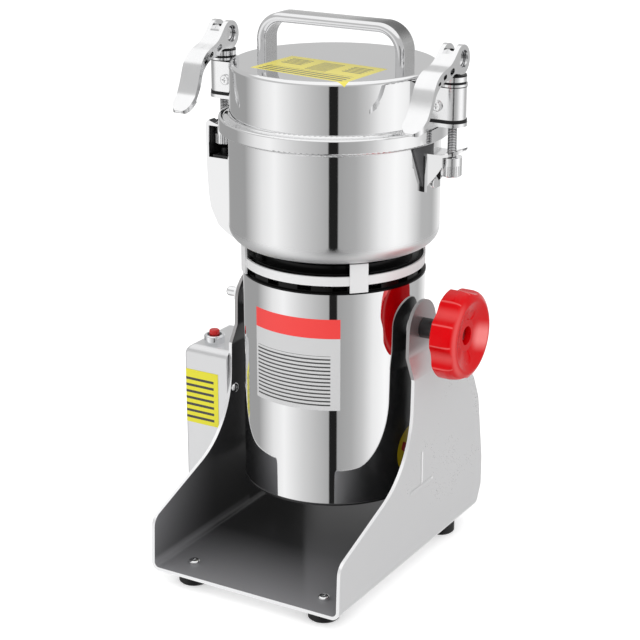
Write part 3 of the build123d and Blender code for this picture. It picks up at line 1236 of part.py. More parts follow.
def lever(drop):
    """A cam lever at the right clamp, turned down by drop from the angle of its outline."""
    side = Plane.YZ * lever_profile()
    body = extrude(side, LEVER_TIP_HALF_WIDTH, both=True)
    tip_y = LEVER_TOP[-1][0]
    blade_y = LEVER_TOP[-3][0]
    wide_y = tip_y * LEVER_FULL_WIDTH_FROM
    end_y = tip_y - LEVER_TIP_OVERHANG
    narrow = LEVER_HALF_WIDTH
    plan = [
        (-narrow, 2 * LEVER_EAR_RADIUS, 0.0),
        (-narrow, blade_y / 2, 0.0),
        (-LEVER_TIP_HALF_WIDTH, wide_y, LEVER_PLAN_BEND),
        (-LEVER_TIP_HALF_WIDTH, end_y, LEVER_TIP_BEND),
        (LEVER_TIP_HALF_WIDTH, end_y, LEVER_TIP_BEND),
        (LEVER_TIP_HALF_WIDTH, wide_y, LEVER_PLAN_BEND),
        (narrow, blade_y / 2, 0.0),
        (narrow, 2 * LEVER_EAR_RADIUS, 0.0),
    ]
    body &= Pos(0, 0, 2 * tip_y) * extrude(outline(plan), -4 * tip_y)
    half_gap, reach = LEVER_GAP / 2, 2 * LEVER_EAR_RADIUS
    body -= block((-half_gap, LEVER_GAP_END, -reach), (half_gap, reach, reach))
    body -= rod(BARREL_RADIUS + HINGE_RUN, 4 * narrow, (-2 * narrow, 0, 0), RIGHT)
    for (y, z), radius, slot in LEVER_HOLES:
        hole = rod(radius, 4 * narrow, (-2 * narrow, y, z), RIGHT)
        run, rise = slot / 2, slot * LEVER_HOLE_RISE
        body -= hole + Pos(0, run, rise) * hole + Pos(0, -run, -rise) * hole
    return Pos(ROD_X, 0, PIN_Z) * Rot(drop, 0, 0) * body


# ---- right catch ----
def catch_plate():
    """The slotted plate that the nut pulls on: flat by the bowl, then curved about the clamp's pivot."""
    upper = CATCH_RADIUS - CATCH_PLATE
    half = CATCH_HALF_WIDTH
    arc = tube(CATCH_RADIUS, upper, 2 * half, (CLAMP_PIVOT_X, -half, CLAMP_PIVOT_Z), BACK)
    arc &= block((CLAMP_PIVOT_X, -half, 0), (CLAMP_PIVOT_X + CATCH_RADIUS, half, CLAMP_PIVOT_Z - upper / 2))
    flat = block((BOWL_RADIUS, -half, CATCH_Z), (CLAMP_PIVOT_X, half, CATCH_Z + CATCH_PLATE))
    reach = rod(CATCH_PLATE_END, CLAMP_PIVOT_Z, (ROD_X, 0, 0))
    reach += block((0, -half, 0), (ROD_X, half, CLAMP_PIVOT_Z))
    return (arc + flat) & reach - rod_slot(0)


def rod_slot(low):
    """Room for the clamp's rod from a height up: a slot round the rod, open outwards."""
    start = ROD_X - CATCH_SLOT_START + CATCH_SLOT / 2
    slot = rod(CATCH_SLOT / 2, CLAMP_PIVOT_Z, (start, 0, low))
    return slot + block((start, -CATCH_SLOT / 2, low), (2 * ROD_X, CATCH_SLOT / 2, CLAMP_PIVOT_Z))


def catch_bracket():
    """The plate, a back plate against the bowl's pad and two gusset cheeks."""
    back = BOWL_RADIUS + CATCH_BACK_GAP
    low = CATCH_Z - CATCH_BACK_HEIGHT
    front = back + CATCH_PLATE
    bracket = catch_plate()
    bracket += block((back, -CATCH_CHEEK_OUTER, low), (front, CATCH_CHEEK_OUTER, CATCH_Z + CATCH_PLATE))
    cheek = [
        (back, CATCH_Z + CATCH_PLATE / 2, 0.0),
        (front + CATCH_CHEEK_REACH, CATCH_Z + CATCH_PLATE / 2, 0.0),
        (front + CATCH_CHEEK_REACH, CATCH_Z - CATCH_CHEEK_FRONT_HEIGHT, 0.0),
        (back, low + CATCH_PLATE, 0.0),
    ]
    side = extrude(Plane.XZ * outline(cheek), CATCH_PLATE)
    far = (CLAMP_PIVOT_X, -2 * CATCH_HALF_WIDTH, CLAMP_PIVOT_Z)
    under_arc = rod(CATCH_RADIUS - CATCH_PLATE / 2, 4 * CATCH_HALF_WIDTH, far, BACK)
    for place in (-CATCH_CHEEK_OUTER + CATCH_PLATE, CATCH_CHEEK_OUTER):
        bracket += Pos(0, place, 0) * side - under_arc
    for drop in RIVET_DROPS:
        bracket -= rod(RIVET_RADIUS + SEAT, 4 * CATCH_PLATE, (back - CATCH_PLATE, 0, CATCH_Z - drop), RIGHT)
    return bracket - bowl_outside(SEAT)


def catch_pad():
    """The rubber pad between the bracket and the round bowl."""
    back = BOWL_RADIUS + CATCH_BACK_GAP
    low = CATCH_Z - CATCH_BACK_HEIGHT
    pad = block((BOWL_INNER, -CATCH_CHEEK_OUTER, low), (back, CATCH_CHEEK_OUTER, CATCH_Z))
    for drop in RIVET_DROPS:
        pad -= rod(RIVET_RADIUS + SEAT, 2 * back, (0, 0, CATCH_Z - drop), RIGHT)
    return pad - bowl_outside(SEAT)


def catch_rivets():
    """Rivets that hold the bracket and the pad to the bowl's wall."""
    back = BOWL_RADIUS + CATCH_BACK_GAP + CATCH_PLATE
    rivets = []
    for drop in RIVET_DROPS:
        z = CATCH_Z - drop
        shank = rod(RIVET_RADIUS, back - BOWL_RADIUS - SEAT, (BOWL_RADIUS + SEAT, 0, z), RIGHT)
        head = rod(RIVET_HEAD_RADIUS, RIVET_HEAD_HEIGHT, (back, 0, z), RIGHT)
        head = fillet(head.edges().group_by(Axis.X)[-1], RIVET_HEAD_HEIGHT * HEAD_ROUNDING)
        rivets.append(shank + head)
    return group(rivets)


# ---- left interlock housing, drawn on the right and mirrored ----
def lock_shell_form(inset):
    """The housing's outer form, or its inside when inset by the sheet."""
    rise = inset * LOCK_SLANT
    lower = [(BOWL_RADIUS + x - inset, BOWL_BOTTOM + z + rise, r) for x, z, r in LOCK_OUTLINE]
    top = BOWL_BOTTOM + LOCK_TOP_RISE_OUTER
    points = [(BOWL_INNER / 2, top, 0.0), (LOCK_TOP_OUTER - inset, top, LOCK_BEND - inset)] + lower
    points.append((lower[-1][0] + inset, BOWL_BOTTOM, 0.0))
    points.append((BOWL_INNER / 2, BOWL_BOTTOM, 0.0))
    return extrude(Plane.XZ * outline(points), LOCK_HALF_WIDTH - inset, both=True)


def lock_housing():
    """A sheet cover from the catch plate down the bowl's side and under its corner."""
    upper = CATCH_RADIUS - CATCH_PLATE
    half = LOCK_HALF_WIDTH
    pivot = (CLAMP_PIVOT_X, -2 * half, CLAMP_PIVOT_Z)
    above = rod(upper, 4 * half, pivot, BACK)
    below = rod(CATCH_RADIUS, 4 * half, pivot, BACK)
    above += block((0, -half, CATCH_Z + CATCH_PLATE), (CLAMP_PIVOT_X, half, CLAMP_PIVOT_Z))
    below += block((0, -half, CATCH_Z), (CLAMP_PIVOT_X, half, CLAMP_PIVOT_Z))
    shell = (lock_shell_form(0) - above) - (lock_shell_form(LOCK_SHEET) - below)
    shell -= rod_slot(NUT_TOP - NUT_SMOOTH)
    notch = block(
        (LOCK_TOP_OUTER - LOCK_NOTCH_DEPTH, -LOCK_NOTCH_HALF_WIDTH, BOWL_BOTTOM + LOCK_NOTCH_RISE),
        (2 * LOCK_TOP_OUTER, LOCK_NOTCH_HALF_WIDTH, CLAMP_PIVOT_Z),
    )
    shell -= notch - rod(CATCH_RADIUS, 4 * half, pivot, BACK)
    shell -= block(
        (BOWL_RADIUS + LOCK_WINDOW[0], -2 * half, CATCH_Z - LOCK_WINDOW_DROP),
        (BOWL_RADIUS + LOCK_WINDOW[1], -half + LOCK_SHEET, CATCH_Z + CATCH_PLATE / 2),
    )
    return other_side(shell - bowl_outside(SEAT))


def switch_block():
    """The black switch carrier below and behind the left nut, with the plunger's bore."""
    top = BOWL_BOTTOM + SWITCH_TOP_RISE
    half = SWITCH_HALF_WIDTH
    body = block((SWITCH_INNER, -half, top - SWITCH_HEIGHT), (SWITCH_OUTER, half, top))
    body += block((SWITCH_INNER, -half, top), (SWITCH_INNER + SWITCH_BACK, half, top + SWITCH_BACK_HEIGHT))
    bore_bottom = top + PLUNGER_PROUD - PLUNGER_LENGTH - PLUNGER_TRAVEL - FACE_GAP
    body -= rod(PLUNGER_RADIUS + RUN, SWITCH_HEIGHT, (ROD_X, 0, bore_bottom))
    return other_side(body - bowl_outside(SEAT))


def interlock_plunger():
    """The spring plunger under the left nut."""
    top = BOWL_BOTTOM + SWITCH_TOP_RISE + PLUNGER_PROUD
    plunger = rod(PLUNGER_RADIUS, PLUNGER_LENGTH, (-ROD_X, 0, top - PLUNGER_LENGTH))
    return fillet(plunger.edges().group_by(Axis.Z)[-1], 0.8)


# ---- sub-parts, by node name ----
def sub_parts():
    """Every node of the mill and its shape."""
    shapes = {
        "stand": stand(),
        "feet": feet(),
        "foot_screws": foot_screws(),
        "control_box_cover": control_box_cover(),
        "control_box_screws": control_box_screws(),
        "overload_breaker": overload_breaker(),
        "reset_collar": reset_collar(),
        "reset_button": reset_button(),
        "rocker_frame": rocker_frame(),
        "rocker_switch": rocker_switch(),
        "cord_gland": cord_gland(),
        "motor_housing": motor_housing(),
        "bottom_cap": bottom_cap(),
        "head_screws": head_screws(),
        "vent_core": vent_core(),
        "vent_ring": vent_ring(),
        "lower_end_bell": lower_end_bell(),
        "upper_end_bell": upper_end_bell(),
        "bearings": bearings(),
        "stator_core": stator_core(),
        "field_coils": field_coils(),
        "carbon_brushes": carbon_brushes(),
        "brush_holders": brush_holders(),
        "motor_shaft": motor_shaft(),
        "armature_core": armature_core(),
        "commutator": commutator(),
        "cooling_fan": cooling_fan(),
        "pivot_bosses": pivot_bosses(),
        "pivot_bolt": pivot_bolt(),
        "pivot_nuts": pivot_nuts(),
        "lock_sleeve": lock_sleeve(),
        "knob_stud": knob_stud(),
        "lock_knob": lock_knob(),
        "bowl": bowl(),
        "shaft_seal": shaft_seal(),
        "blade_spacers": blade_spacers(),
        "grinding_blades": grinding_blades(),
        "blade_nut": blade_nut(),
        "lid_gasket": lid_gasket(),
        "lid": lid(),
        "lid_handle": lid_handle(),
        "clamp_lugs": clamp_lugs(),
        "catch_bracket": catch_bracket(),
        "catch_pad": catch_pad(),
        "catch_rivets": catch_rivets(),
        "lock_housing": lock_housing(),
        "switch_block": switch_block(),
        "interlock_plunger": interlock_plunger(),
    }
    clamp = {
        "clamp_body": clamp_body(),
        "clamp_rubbers": clamp_rubbers(),
        "clamp_screw": clamp_screw(),
        "clamp_rod": clamp_rod(),
        "clamp_nut": clamp_nut(),
    }
    for name, shape in clamp.items():
        shapes["right_" + name] = shape
        shapes["left_" + name] = group([other_side(shape)])
    shapes["right_lever"] = lever(0)
    shapes["left_lever"] = other_side(lever(LEFT_LEVER_DROP))
    return shapes


os.makedirs("parts", exist_ok=True)
for node, shape in sub_parts().items():
    export_step(shape, f"parts/{node}.step")
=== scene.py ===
"""Electric swing grain mill: finishes and formed surfaces on its solids, with floor, lamps and camera."""

import json
import math

import bpy
import numpy as np
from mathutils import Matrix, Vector


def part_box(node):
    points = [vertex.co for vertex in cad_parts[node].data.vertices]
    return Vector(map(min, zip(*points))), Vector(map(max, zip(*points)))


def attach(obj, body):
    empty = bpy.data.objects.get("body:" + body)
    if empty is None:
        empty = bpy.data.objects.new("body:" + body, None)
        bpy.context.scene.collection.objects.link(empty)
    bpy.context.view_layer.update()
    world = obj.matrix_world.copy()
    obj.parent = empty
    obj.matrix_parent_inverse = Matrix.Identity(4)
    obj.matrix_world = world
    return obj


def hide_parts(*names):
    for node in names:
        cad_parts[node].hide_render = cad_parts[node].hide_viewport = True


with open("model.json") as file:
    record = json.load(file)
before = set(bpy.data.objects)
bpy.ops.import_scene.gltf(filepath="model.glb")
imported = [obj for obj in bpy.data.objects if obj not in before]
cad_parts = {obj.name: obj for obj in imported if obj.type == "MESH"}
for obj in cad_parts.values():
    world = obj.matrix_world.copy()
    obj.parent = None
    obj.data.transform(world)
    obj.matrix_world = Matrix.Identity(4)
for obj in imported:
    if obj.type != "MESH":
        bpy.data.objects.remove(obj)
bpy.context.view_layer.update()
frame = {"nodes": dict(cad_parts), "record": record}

MM = 0.001
MICRON = 0.000001
METAL = {"Metallic": 1.0}

CAMERA_AZIMUTH = math.radians(30.51)
CAMERA_PITCH = math.radians(19.27)
CAMERA_PLACE = (0.49595, -0.85760, 0.48800)
CAMERA_LENS = 101.34
CAMERA_SENSOR = 36.0
FLOOR_HALF = 3.0
LAMP_AIM = (0.0, 0.0, 0.15)

# Lamps: name, place, size in metres and power in watts.
LAMPS = [
    ("key_lamp", (0.9, -1.1, 1.3), 1.2, 9.0),
    ("fill_lamp", (-1.2, -0.8, 1.0), 1.4, 5.0),
]

# Places on the finishes, in metres. A pair says where a tone starts and is full; a four adds where it ends.
# The bar and upright pressed into the right cheek: their places and half lengths, then their soft edges.
PRESS_LEVEL = 0.053
PRESS_MIDDLE = -0.006
PRESS_HALF_LENGTH = 0.0136
PRESS_UPRIGHT_MIDDLE = 0.064
PRESS_UPRIGHT_HALF = 0.010
PRESS_SIDE = (0.0002, 0.0016)
PRESS_END = 0.001
PRESS_DEPTH = 0.0006

# Painted shade on the ears' outside: up the cheek, and towards its back.
EAR_SHADE_RISE = (0.1315, 0.140)
EAR_SHADE_BACK = (-0.016, 0.012)

# The stand's inside, where its tone is painted shade and light: where it starts to brighten forwards and
# over what length, the edge of the brighter part of the floor, the bend between floor and cheek that
# carries a painted highlight, and where the floor's tone gives way to the cheek's.
FADE_FROM = -0.036
FADE_LENGTH = 0.064
LIT_EDGE_SIDE = 0.002
LIT_EDGE_SLANT = 0.6
LIT_EDGE_BACK = 0.038
LIT_EDGE_SOFT = (-0.002, 0.003)
CHEEK_BRIGHTER_OVER = 0.045
BEND_HIGHLIGHT_HEIGHT = 0.0145
BEND_HIGHLIGHT_SOFT = (0.0005, 0.003)
FLOOR_TO_CHEEK = (0.013, 0.017)

# The clamp rods: where the cross pin is, the groove round it, and the thread's top below it and its pitch.
PIN_BELOW_LEVER_TOP = 0.00775
PIN_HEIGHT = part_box("right_lever")[1].z - PIN_BELOW_LEVER_TOP
PIN_GROOVE = (0.0035, 0.0046)
THREAD_BELOW_PIN = 0.006
THREAD_PITCH = 0.0009

# The duller bands of the bowl, round its lower corner and at its rim's step, by height.
BOWL_CORNER = (0.188, 0.191, 0.1970, 0.2050)
BOWL_STEP = (0.2535, 0.2545, 0.2562, 0.2568)

# The handle's stretch with a painted darker reflection, by side and by height.
HANDLE_REFLECTION_SIDE = (0.005, 0.036)
HANDLE_REFLECTION_RISE = (0.308, 0.316)

# The knob's face, with painted highlights: its middle's height, the way the highlight on its dish leads,
# how that highlight starts along that way, falls off beside it and ends outwards, and the painted
# highlights on the crest and notch ridges near its rim (ridges in degrees).
KNOB_HEIGHT = 0.1476
DISH_HIGHLIGHT_BACK = 0.96
DISH_HIGHLIGHT_DOWN = 0.28
DISH_HIGHLIGHT_START = (0.006, 0.013)
DISH_HIGHLIGHT_BESIDE = (0.002, 0.010)
DISH_HIGHLIGHT_END = (0.0192, 0.0212)
CREST_REACH = (0.0205, 0.0225, 0.0228, 0.0250)
CREST_BACK = (-0.016, -0.006)
RIDGE_BEFORE = (-2.2, -0.6)
RIDGE_AFTER = 1.2
RIDGE_REACH = (0.0242, 0.0249)

# The motor's laminations and wires, and the inked share of a ruled line's pitch.
LAMINATION_PITCH = 0.0005
WINDING_PITCH = 0.0007
RULED_SHARE = 0.4

# Faces that take a second finish, in mm and by how far their normal leans.
LEAN = 0.25
LOCK_LEAN = 0.3
FLOOR_FACES_BELOW = 20.0
FLOOR_FACES_HALF = 62.0
EAR_EDGE_FROM = 124.0
LOCK_WALL = 0.8

# Surfaces: the angle from which an edge is sharp, and the half angle past which a corner is straight.
SHARP_ANGLE = math.radians(50.0)
NEARLY_STRAIGHT = 1.55

# The knob, in mm: profile points (radius, out from its back, corner radius) from the back to the socket.
KNOB_PROFILE = [
    (0.6, 0.0, 0.0),
    (26.3, 0.0, 1.2),
    (26.3, 7.6, 5.5),
    (25.2, 12.4, 4.5),
    (21.0, 14.9, 3.0),
    (9.0, 10.8, 1.0),
    (5.3, 10.8, 0.3),
    (5.3, 6.3, 0.3),
    (0.6, 6.3, 0.0),
]
KNOB_STEP = 0.6
KNOB_COLUMNS = 300

# Its notches, by degrees from the top: the first, their half width, and the arc, hollow and rounding in mm.
KNOB_NOTCHES = 6
KNOB_NOTCH_START = 46.0
KNOB_NOTCH_HALF = 17.0
KNOB_NOTCH_RIM = 26.3
KNOB_NOTCH_HOLLOW = 1.5
KNOB_NOTCH_BLEND = 0.18
KNOB_NOTCHED_FROM = 15.0

# Its two pockets beside the hub: each one's degrees from the top and outer reach, and what both share.
KNOB_POCKETS = [(-14.0, 13.2), (172.0, 14.2)]
POCKET_HALF_TURN = 20.0
POCKET_MIDDLE = 11.0
POCKET_INNER = 9.0
POCKET_SHORE = 0.35
POCKET_DEPTH = 0.5
HUB_RADIUS = 9.2
FACE_FROM = 9.0

# The handle, in mm: half its thickness, its bends' radius, and the steps of its path and section. A face
# whose middle is no further past the flats than the last value takes the brushed finish.
HANDLE_HALF_THICKNESS = 2.75
HANDLE_BEND = 13.25
HANDLE_STEP = 3.0
HANDLE_ARC = 16
HANDLE_COLUMNS = 48
HANDLE_FLAT_PAST = 0.3

# The catch pad's flap: corners (along the bowl's wall, height, corner radius), and its section as rows of
# (proud of the wall, share of the outline).
BOWL_RADIUS = 60.2
FLAP_OUTLINE = [
    (-3.5, 255.0, 0.6),
    (17.0, 254.6, 0.8),
    (6.6, 228.6, 1.0),
    (0.0, 228.4, 0.6),
]
FLAP_SECTION = [(0.06, 1.0), (0.9, 1.0), (1.15, 0.93), (1.15, 0.5)]
FLAP_STEP = 0.5

# The dark plate of painted shade inside the interlock housing: heights, gap to its walls, corner radius,
# place inside the outer side, and its section as rows of (thickness so far, share of the outline).
SHADE_PLATE_HEIGHTS = (232.5, 251.6)
SHADE_PLATE_GAP = 1.6
SHADE_PLATE_CORNER = 1.0
SHADE_PLATE_INSIDE = 1.5
SHADE_PLATE_SECTION = [(0.0, 1.0), (0.7, 1.0), (0.8, 0.97), (0.8, 0.5)]
SHADE_PLATE_STEP = 1.0

# Stickers, in mm and degrees, with the counts of columns and rows of their grids.
STICKER_PROUD = 0.12
HOUSING_RADIUS = 52.5
HOUSING_STICKER_TURNS = (-26.3, 34.0)
HOUSING_STICKER_HEIGHTS = (106.0, 160.1)
HOUSING_STICKER_GRID = (60, 30)
LID_EDGE = 2.5
LID_FLAT_RADIUS = 56.4
LID_STICKER = [(-30.5, -39.6), (-27.8, 0.2), (36.8, -5.7), (34.6, -49.4)]  # front left, then clockwise
LID_STICKER_GRID = (60, 40)
ROUND_STICKER = (60.3, 5.9, 67.5)
ROUND_STICKER_RADIUS = 14.3
ROUND_STICKER_SLANT = 30.0
ROUND_STICKER_GRID = (41, 41)
BOX_STICKER_HEIGHTS = (66.3, 100.7)
BOX_STICKER_FRONT = 24.0
BOX_STICKER_SIDE = 7.0
BOX_STICKER_STEP = 1.0
BOX_STICKER_ROWS = 20
BOX_EDGE = 1.5


# ---------------------------------------------------------------- shader maths


class Shade:
    """A socket in a node tree. Arithmetic on it adds Math nodes; node() adds any other node."""

    def __init__(self, tree, socket=None):
        self.tree = tree
        self.socket = socket

    def node(self, kind, settings=None, values=None, out=0):
        """Adds a node: its settings first, a ramp's stops among them, then its sockets' values or links."""
        made = self.tree.nodes.new("ShaderNode" + kind)
        for key, value in (settings or {}).items():
            if key == "stops":
                set_stops(made.color_ramp, value)
            else:
                setattr(made, key, value)
        for key, value in (values or {}).items():
            if isinstance(value, Shade):
                self.tree.links.new(value.socket, made.inputs[key])
            else:
                made.inputs[key].default_value = value
        return Shade(self.tree, made.outputs[out])

    def math(self, operation, *values):
        """One Math node on up to three values."""
        return self.node("Math", {"operation": operation}, dict(enumerate(values)))

    def __add__(self, other):
        return self.math("ADD", self, other)

    def __radd__(self, other):
        return self.math("ADD", other, self)

    def __sub__(self, other):
        return self.math("SUBTRACT", self, other)

    def __rsub__(self, other):
        return self.math("SUBTRACT", other, self)

    def __mul__(self, other):
        return self.math("MULTIPLY", self, other)

    def __rmul__(self, other):
        return self.math("MULTIPLY", other, self)

    def __truediv__(self, other):
        return self.math("DIVIDE", self, other)

    def __rtruediv__(self, other):
        return self.math("DIVIDE", other, self)

    def __gt__(self, other):
        return self.math("GREATER_THAN", self, other)

    def __lt__(self, other):
        return self.math("LESS_THAN", self, other)

    def step(self, low, high):
        """Rises smoothly from 0 at low to 1 at high."""
        return self.node(
            "MapRange",
            {"interpolation_type": "SMOOTHSTEP"},
            {"Value": self, "From Min": low, "From Max": high},
        )

    def band(self, rise_from, rise_to, fall_from, fall_to):
        """Rises smoothly from 0 to 1, stays there, and falls back to 0."""
        return self.step(rise_from, rise_to) * (1.0 - self.step(fall_from, fall_to))

    def mix(self, first, second):
        """A colour: first where this socket is 0, second where it is 1."""
        return self.node("Mix", {"data_type": "RGBA"}, {0: self, 6: first, 7: second}, out=2)


def set_stops(ramp, stops):
    """Gives a colour ramp its stops, each (place, grey or colour)."""
    while len(ramp.elements) < len(stops):
        ramp.elements.new(0.5)
    for element, (place, value) in zip(ramp.elements, stops):
        element.position = place
        element.color = value if isinstance(value, tuple) else (value, value, value, 1.0)


def grey(value):
    """A neutral colour."""
    return (value, value, value, 1.0)


def new_material(name):
    """An empty node material, with a Shade to build on and its output node."""
    made = bpy.data.materials.new(name)
    made.use_nodes = True
    tree = made.node_tree
    tree.nodes.clear()
    output = tree.nodes.new("ShaderNodeOutputMaterial")
    return made, Shade(tree), output


def place(shade, scale=(1.0, 1.0, 1.0)):
    """Object coordinates in metres, stretched by scale."""
    spot = shade.node("TexCoord", out="Object")
    return shade.node("Mapping", None, {"Vector": spot, "Scale": scale})


def split(shade, spot):
    """The three numbers of a place: side, depth and height. A UV is the first two."""
    return [shade.node("SeparateXYZ", None, {0: spot}, out=axis) for axis in "XYZ"]


def noise(shade, spot, scale, detail=3.0, rough=0.55):
    """Smooth noise from 0 to 1, with scale features in a metre."""
    values = {"Vector": spot, "Scale": scale, "Detail": detail, "Roughness": rough}
    return shade.node("TexNoise", None, values)


def finish(name, build):
    """A material made by build(shade), which returns the shader's values, a bump height and its depth."""
    made, shade, output = new_material(name)
    values, height, depth = build(shade)
    bump = {"Height": height, "Strength": 1.0, "Distance": depth}
    values["Normal"] = shade.node("Bump", None, bump)
    surface = shade.node("BsdfPrincipled", None, values)
    shade.tree.links.new(surface.socket, output.inputs["Surface"])
    return made


# ---------------------------------------------------------------- finishes


def two_tone(drift, first, second, grain, roughness, constants=None):
    """A finish's values: its colour drifts from first to second, its roughness is least + added * grain."""
    least, added = roughness
    values = {
        "Base Color": drift.mix((*first, 1.0), (*second, 1.0)),
        "Roughness": least + added * grain,
    }
    values.update(constants or {})
    return values


def polished_steel(shade):
    """Mirror-polished stainless steel with hair-fine wipe marks that change its gloss a little."""
    fine = noise(shade, place(shade, (1.0, 1.0, 6.0)), 900.0, 4.0)
    broad = noise(shade, place(shade), 45.0, 2.0)
    values = two_tone(broad, (0.885, 0.885, 0.888), (0.865, 0.867, 0.872), fine, (0.028, 0.022), METAL)
    return values, broad, 20 * MICRON


def satin_sheet(shade):
    """Satin stainless sheet: a soft cold-rolled grain that blurs what it mirrors."""
    grain = noise(shade, place(shade), 1400.0)
    cloud = noise(shade, place(shade), 22.0)
    metal = {"Metallic": 0.86}
    values = two_tone(cloud, (0.78, 0.78, 0.785), (0.74, 0.742, 0.75), cloud, (0.24, 0.05), metal)
    values["Roughness"] = values["Roughness"] + 0.05 * grain
    return values, grain, 10 * MICRON


def cheek_outside(shade):
    """The stand's satin outside: ears darkened as painted shade, and a bar and upright pressed into the
    right cheek.
    """
    values, grain, _ = satin_sheet(shade)
    plain = noise(shade, place(shade), 22.0).mix((0.93, 0.93, 0.935, 1.0), (0.89, 0.89, 0.90, 1.0))
    values["Metallic"] = 0.70
    side, depth, height = split(shade, place(shade))
    level = trench(shade, height - PRESS_LEVEL, depth - PRESS_MIDDLE, PRESS_HALF_LENGTH)
    upright = trench(shade, depth - PRESS_MIDDLE, height - PRESS_UPRIGHT_MIDDLE, PRESS_UPRIGHT_HALF)
    pressed = shade.math("MAXIMUM", level, upright) * (side > 0.0)
    # Painted shade: the ears darken up the cheek, a little less towards the back.
    darker = height.step(*EAR_SHADE_RISE) * (0.72 - 0.20 * depth.step(*EAR_SHADE_BACK))
    values["Base Color"] = darker.mix(plain, (0.20, 0.185, 0.19, 1.0))
    return values, grain * 0.01 - pressed, PRESS_DEPTH


def trench(shade, across, along, half_length):
    """1 in the middle of a soft trench, falling to 0 beside it and past its ends."""
    fall = 1.0 - shade.math("ABSOLUTE", across).step(*PRESS_SIDE)
    past = shade.math("ABSOLUTE", along).step(half_length - PRESS_END, half_length + PRESS_END)
    return fall * (1.0 - past)


def shaded_sheet(shade):
    """The stand's inside: the same sheet in painted shade, darker towards the motor, with painted light
    forwards and along its bends.
    """
    spot = place(shade)
    grain = noise(shade, spot, 1400.0)
    cloud = noise(shade, spot, 22.0)
    side, depth, height = split(shade, spot)
    # Painted shade and light: the tone brightens forwards, along the lit edge of the floor and over the
    # bend.
    front = shade.math("MINIMUM", shade.math("MAXIMUM", (FADE_FROM - depth) / FADE_LENGTH, 0.0), 1.0)
    lit = (side - (LIT_EDGE_SIDE - LIT_EDGE_SLANT * (depth + LIT_EDGE_BACK))).step(*LIT_EDGE_SOFT)
    floor = 0.020 + 0.185 * front + 0.075 * lit * (1.0 - front)
    cheek = 0.022 + 0.13 * shade.math("POWER", front, 1.4) * (0.5 + height / CHEEK_BRIGHTER_OVER)
    bend = 1.0 - shade.math("ABSOLUTE", height - BEND_HIGHLIGHT_HEIGHT).step(*BEND_HIGHLIGHT_SOFT)
    tone = floor + height.step(*FLOOR_TO_CHEEK) * (cheek - floor)
    tone = tone + 0.06 * bend * (depth < 0.0) + 0.008 * cloud
    values = {
        "Base Color": shade.node("CombineColor", None, {0: tone, 1: tone, 2: tone * 1.04}),
        "Roughness": 0.26 + 0.06 * grain,
        "Specular IOR Level": 0.42,
    }
    return values, grain, 10 * MICRON


def shaded_ear_edge(shade):
    """The cut edge of the sheet round the ears, darkened like the ears as painted shade."""
    cloud = noise(shade, place(shade), 120.0, 2.0)
    values = two_tone(cloud, (0.42, 0.41, 0.41), (0.36, 0.35, 0.35), cloud, (0.30, 0.1), {"Metallic": 0.8})
    return values, cloud, 10 * MICRON


def shadow_black(shade):
    """Near black standing in for the unlit inside of the interlock housing: painted shade."""
    cloud = noise(shade, place(shade), 60.0, 2.0)
    values = two_tone(cloud, (0.006, 0.006, 0.007), (0.012, 0.012, 0.013), cloud, (0.45, 0.1))
    return values, cloud, 10 * MICRON


def threaded_steel(shade):
    """Bright rod with a fine rolled thread, its valleys darkened as painted shade, and a groove round its
    cross pin darkened as painted shade.
    """
    spot = place(shade)
    _, depth, height = split(shade, spot)
    rise = height - PIN_HEIGHT
    reach = shade.math("SQRT", rise * rise + depth * depth)
    groove = (reach > PIN_GROOVE[0]) * (reach < PIN_GROOVE[1])
    plain = height > PIN_HEIGHT - THREAD_BELOW_PIN
    proud = shade.math("MAXIMUM", waves(shade, height, THREAD_PITCH), plain) * (1.0 - groove)
    cloud = noise(shade, spot, 160.0)
    # Painted shade: the thread's valleys and the groove round the pin turn dark.
    values = two_tone(proud, (0.10, 0.10, 0.105), (0.88, 0.88, 0.885), cloud, (0.14, 0.08), METAL)
    return values, proud, 250 * MICRON


def waves(shade, height, pitch):
    """Level waves, from 0 to 1 and back over each pitch of height."""
    return shade.math("SINE", height * (2.0 * math.pi / pitch)) * 0.5 + 0.5


def ring_steel(shade):
    """The narrow bright ring between housing and bowl, with a soft lustre."""
    cloud = noise(shade, place(shade), 40.0, 2.0)
    metal = {"Metallic": 0.25}
    values = two_tone(cloud, (0.86, 0.86, 0.862), (0.82, 0.82, 0.825), cloud, (0.42, 0.05), metal)
    return values, cloud, 10 * MICRON


def bowl_steel(shade):
    """The bowl's mirror polish, with a soft lustre round its lower corner and at its rim's step."""
    values, broad, depth = polished_steel(shade)
    _, _, height = split(shade, place(shade))
    soft = 0.46 * height.band(*BOWL_CORNER)
    values["Roughness"] = values["Roughness"] + soft + 0.30 * height.band(*BOWL_STEP)
    return values, broad, depth


def vent_plastic(shade):
    """Deep black moulding of the vent spacer, with a smooth skin."""
    cloud = noise(shade, place(shade), 80.0)
    faint = {"Specular IOR Level": 0.20}
    values = two_tone(cloud, (0.001, 0.001, 0.001), (0.002, 0.002, 0.002), cloud, (0.18, 0.08), faint)
    return values, cloud, 10 * MICRON


def handle_top(shade):
    """The flat faces of the handle, brushed along its length and darker towards its right bend, where a
    darker reflection is painted.
    """
    streak = noise(shade, place(shade, (0.05, 1.0, 1.0)), 2200.0)
    side, _, height = split(shade, place(shade))
    painted_dark_reflection = side.step(*HANDLE_REFLECTION_SIDE) * height.step(*HANDLE_REFLECTION_RISE)
    # Painted reflection: the flats darken towards the right bend.
    tone = 0.72 - 0.48 * painted_dark_reflection - 0.10 * streak
    values = {
        "Base Color": shade.node("CombineColor", None, {0: tone, 1: tone, 2: tone}),
        "Metallic": 1.0,
        "Roughness": 0.22 + 0.10 * streak,
    }
    return values, streak, 6 * MICRON


